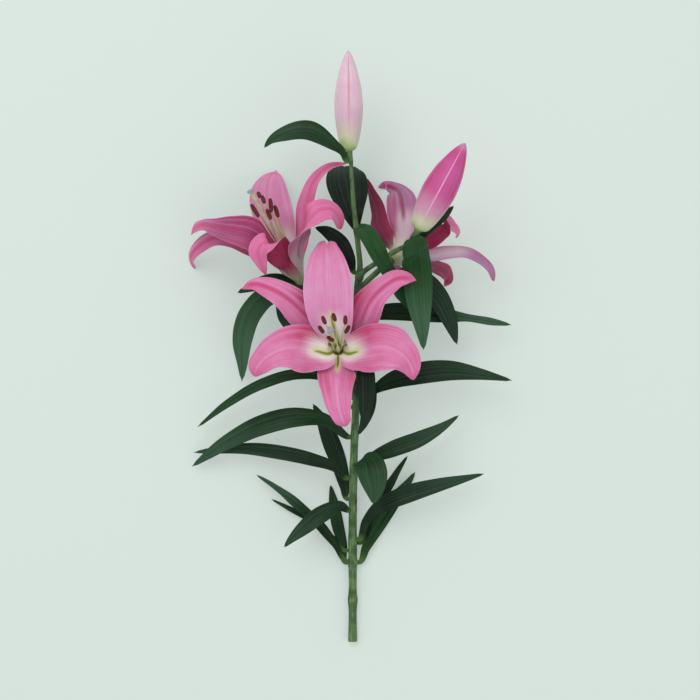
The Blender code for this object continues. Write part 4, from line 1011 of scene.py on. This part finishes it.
class LILY_OT_leaves(bpy.types.Operator):
    """Make the leaves: one waved, grooved blade for each"""

    bl_idname = "lily.leaves"
    bl_label = "Leaves"

    def execute(self, context):
        stalks = all_stalks()
        material = leaf_material(context.scene.lily_colours)
        for number, (name, leaf) in enumerate(LEAVES.items()):
            shape = leaf_shape(number, leaf, context.scene.lily_sizes, stalks)
            add_piece(name + "_blade", [shape], material, name)
        return {"FINISHED"}


class LILY_OT_petals(bpy.types.Operator):
    """Make the petals of the three open blooms"""

    bl_idname = "lily.petals"
    bl_label = "Petals"

    def execute(self, context):
        material = petal_material(context.scene.lily_colours)
        for number, (name, petal) in enumerate(PETALS.items()):
            bloom = BLOOMS[name.split("_")[0]]
            shape = petal_shape(number % PETALS_EACH, bloom, petal, context.scene.lily_sizes)
            add_piece(name + "_blade", [shape], material, name)
        return {"FINISHED"}


class LILY_OT_buds(bpy.types.Operator):
    """Make the two closed buds"""

    bl_idname = "lily.buds"
    bl_label = "Buds"

    def execute(self, context):
        for name, spec in BUDS.items():
            words = "ripe bud skin" if spec[3] else "young bud skin"
            material = bud_material(words, context.scene.lily_colours, spec[3])
            add_piece(name + "_skin", [bud_shape(spec)], material, name)
        return {"FINISHED"}


class LILY_OT_stem(bpy.types.Operator):
    """Make the stem with its flower stalks and leaf scars"""

    bl_idname = "lily.stem"
    bl_label = "Stem"

    def execute(self, context):
        material = stem_material(context.scene.lily_colours)
        add_piece("stem_skin", stem_shapes(all_stalks()), material, "stem")
        return {"FINISHED"}


class LILY_OT_stamens(bpy.types.Operator):
    """Make the filaments, anthers, styles and stigmas"""

    bl_idname = "lily.stamens"
    bl_label = "Stamens"

    def execute(self, context):
        colours = context.scene.lily_colours
        materials = (
            grained_material("smooth filament skin", colours.filament_green,
                             linear("#cfd0a6"), 6.0, 0.45, 0.1),
            grained_material("pollen-dusted anther", colours.anther_maroon,
                             linear("#6e2a1a"), 0.8, 0.8, 0.8),
            grained_material("moist stigma skin", colours.stigma_grey,
                             linear("#a9a0ad"), 0.9, 0.3, 0.5))
        for name in BLOOMS:
            lists = stamen_shapes(name, context.scene.lily_sizes)
            for words, shapes, material in zip(("filaments", "anthers", "stigma"), lists, materials):
                add_piece(f"{name}_{words}", shapes, material, name + "_stamens")
        return {"FINISHED"}


class LILY_OT_stage(bpy.types.Operator):
    """Make the pale floor, the soft lights and the camera that looks straight down"""

    bl_idname = "lily.stage"
    bl_label = "Stage"

    def execute(self, context):
        scene = context.scene
        # An opal board lit evenly from beneath keeps the shadows faint.
        material, tree, shader = new_material("opal light-table board", {
            "Roughness": 0.9, "Emission Color": rgba(scene.lily_colours.floor_pale),
            "Emission Strength": FLOOR_GLOW})
        noise = add_node(tree, "TexNoise", {}, {
            "Vector": add_node(tree, "TexCoord", (), (), "Object"), "Scale": 400.0})
        colour = scene.lily_colours.floor_pale
        light_grain, dark_grain = (rgba([c * share for c in colour]) for share in FLOOR_GRAIN)
        tree.links.new(add_node(tree, "Mix", {"data_type": "RGBA"}, {
            0: noise, 6: light_grain, 7: dark_grain}, 2), shader.inputs["Base Color"])
        mesh = bpy.data.meshes.new("floor")
        corners = [(x * FLOOR_REACH, y * FLOOR_REACH, 0)
                   for x, y in ((-1, -1), (1, -1), (1, 1), (-1, 1))]
        mesh.from_pydata(corners, [], [(0, 1, 2, 3)])
        mesh.materials.append(material)
        floor = bpy.data.objects.new("floor", mesh)
        scene.collection.objects.link(floor)
        world = bpy.data.worlds.new("soft room")
        world.use_nodes = True
        background = world.node_tree.nodes["Background"]
        background.inputs["Color"].default_value = (0.95, 1.0, 0.98, 1.0)
        background.inputs["Strength"].default_value = ROOM_LIGHT
        scene.world = world
        for name, (place, size, power) in SOFTBOXES.items():
            light = bpy.data.lights.new(name, "AREA")
            light.shape, light.size, light.energy = "SQUARE", size, power
            lamp = bpy.data.objects.new(name, light)
            lamp.location = place
            lamp.rotation_euler = Vector(place).to_track_quat("Z", "Y").to_euler()
            scene.collection.objects.link(lamp)
        lens = bpy.data.cameras.new("camera")
        lens.sensor_width = 36.0
        lens.lens = lens.sensor_width / 2 * VIEW_DISTANCE / HALF_VIEW
        lens.clip_start, lens.clip_end = 0.1, 50.0
        camera = bpy.data.objects.new("camera", lens)
        camera.location = (*(VIEW_CENTRE - ORIGIN[:2]) * MM, VIEW_HEIGHT + VIEW_DISTANCE)
        scene.collection.objects.link(camera)
        scene.camera = camera
        scene.view_settings.view_transform = "Standard"
        return {"FINISHED"}


OPERATORS = (LILY_OT_stem, LILY_OT_leaves, LILY_OT_petals, LILY_OT_buds, LILY_OT_stamens,
             LILY_OT_stage)


class LILY_PT_panel(bpy.types.Panel):
    """Sizes, colours and the pieces of the lily"""

    bl_idname = "LILY_PT_panel"
    bl_label = "Cut lily"
    bl_space_type = "VIEW_3D"
    bl_region_type = "UI"
    bl_category = "Lily"

    def draw(self, context):
        for group in (context.scene.lily_sizes, context.scene.lily_colours):
            box = self.layout.box()
            for name in group.bl_rna.properties.keys():
                if name not in ("rna_type", "name"):
                    box.prop(group, name)
        for operator in OPERATORS:
            self.layout.operator(operator.bl_idname)


CLASSES = (LilySizes, LilyColours, *OPERATORS, LILY_PT_panel)


def register():
    for kind in CLASSES:
        bpy.utils.register_class(kind)
    bpy.types.Scene.lily_sizes = PointerProperty(type=LilySizes)
    bpy.types.Scene.lily_colours = PointerProperty(type=LilyColours)


def unregister():
    del bpy.types.Scene.lily_sizes
    del bpy.types.Scene.lily_colours
    for kind in reversed(CLASSES):
        bpy.utils.unregister_class(kind)


def main():
    register()
    for operator in OPERATORS:
        section, name = operator.bl_idname.split(".")
        getattr(getattr(bpy.ops, section), name)()


if __name__ == "__main__":
    main()
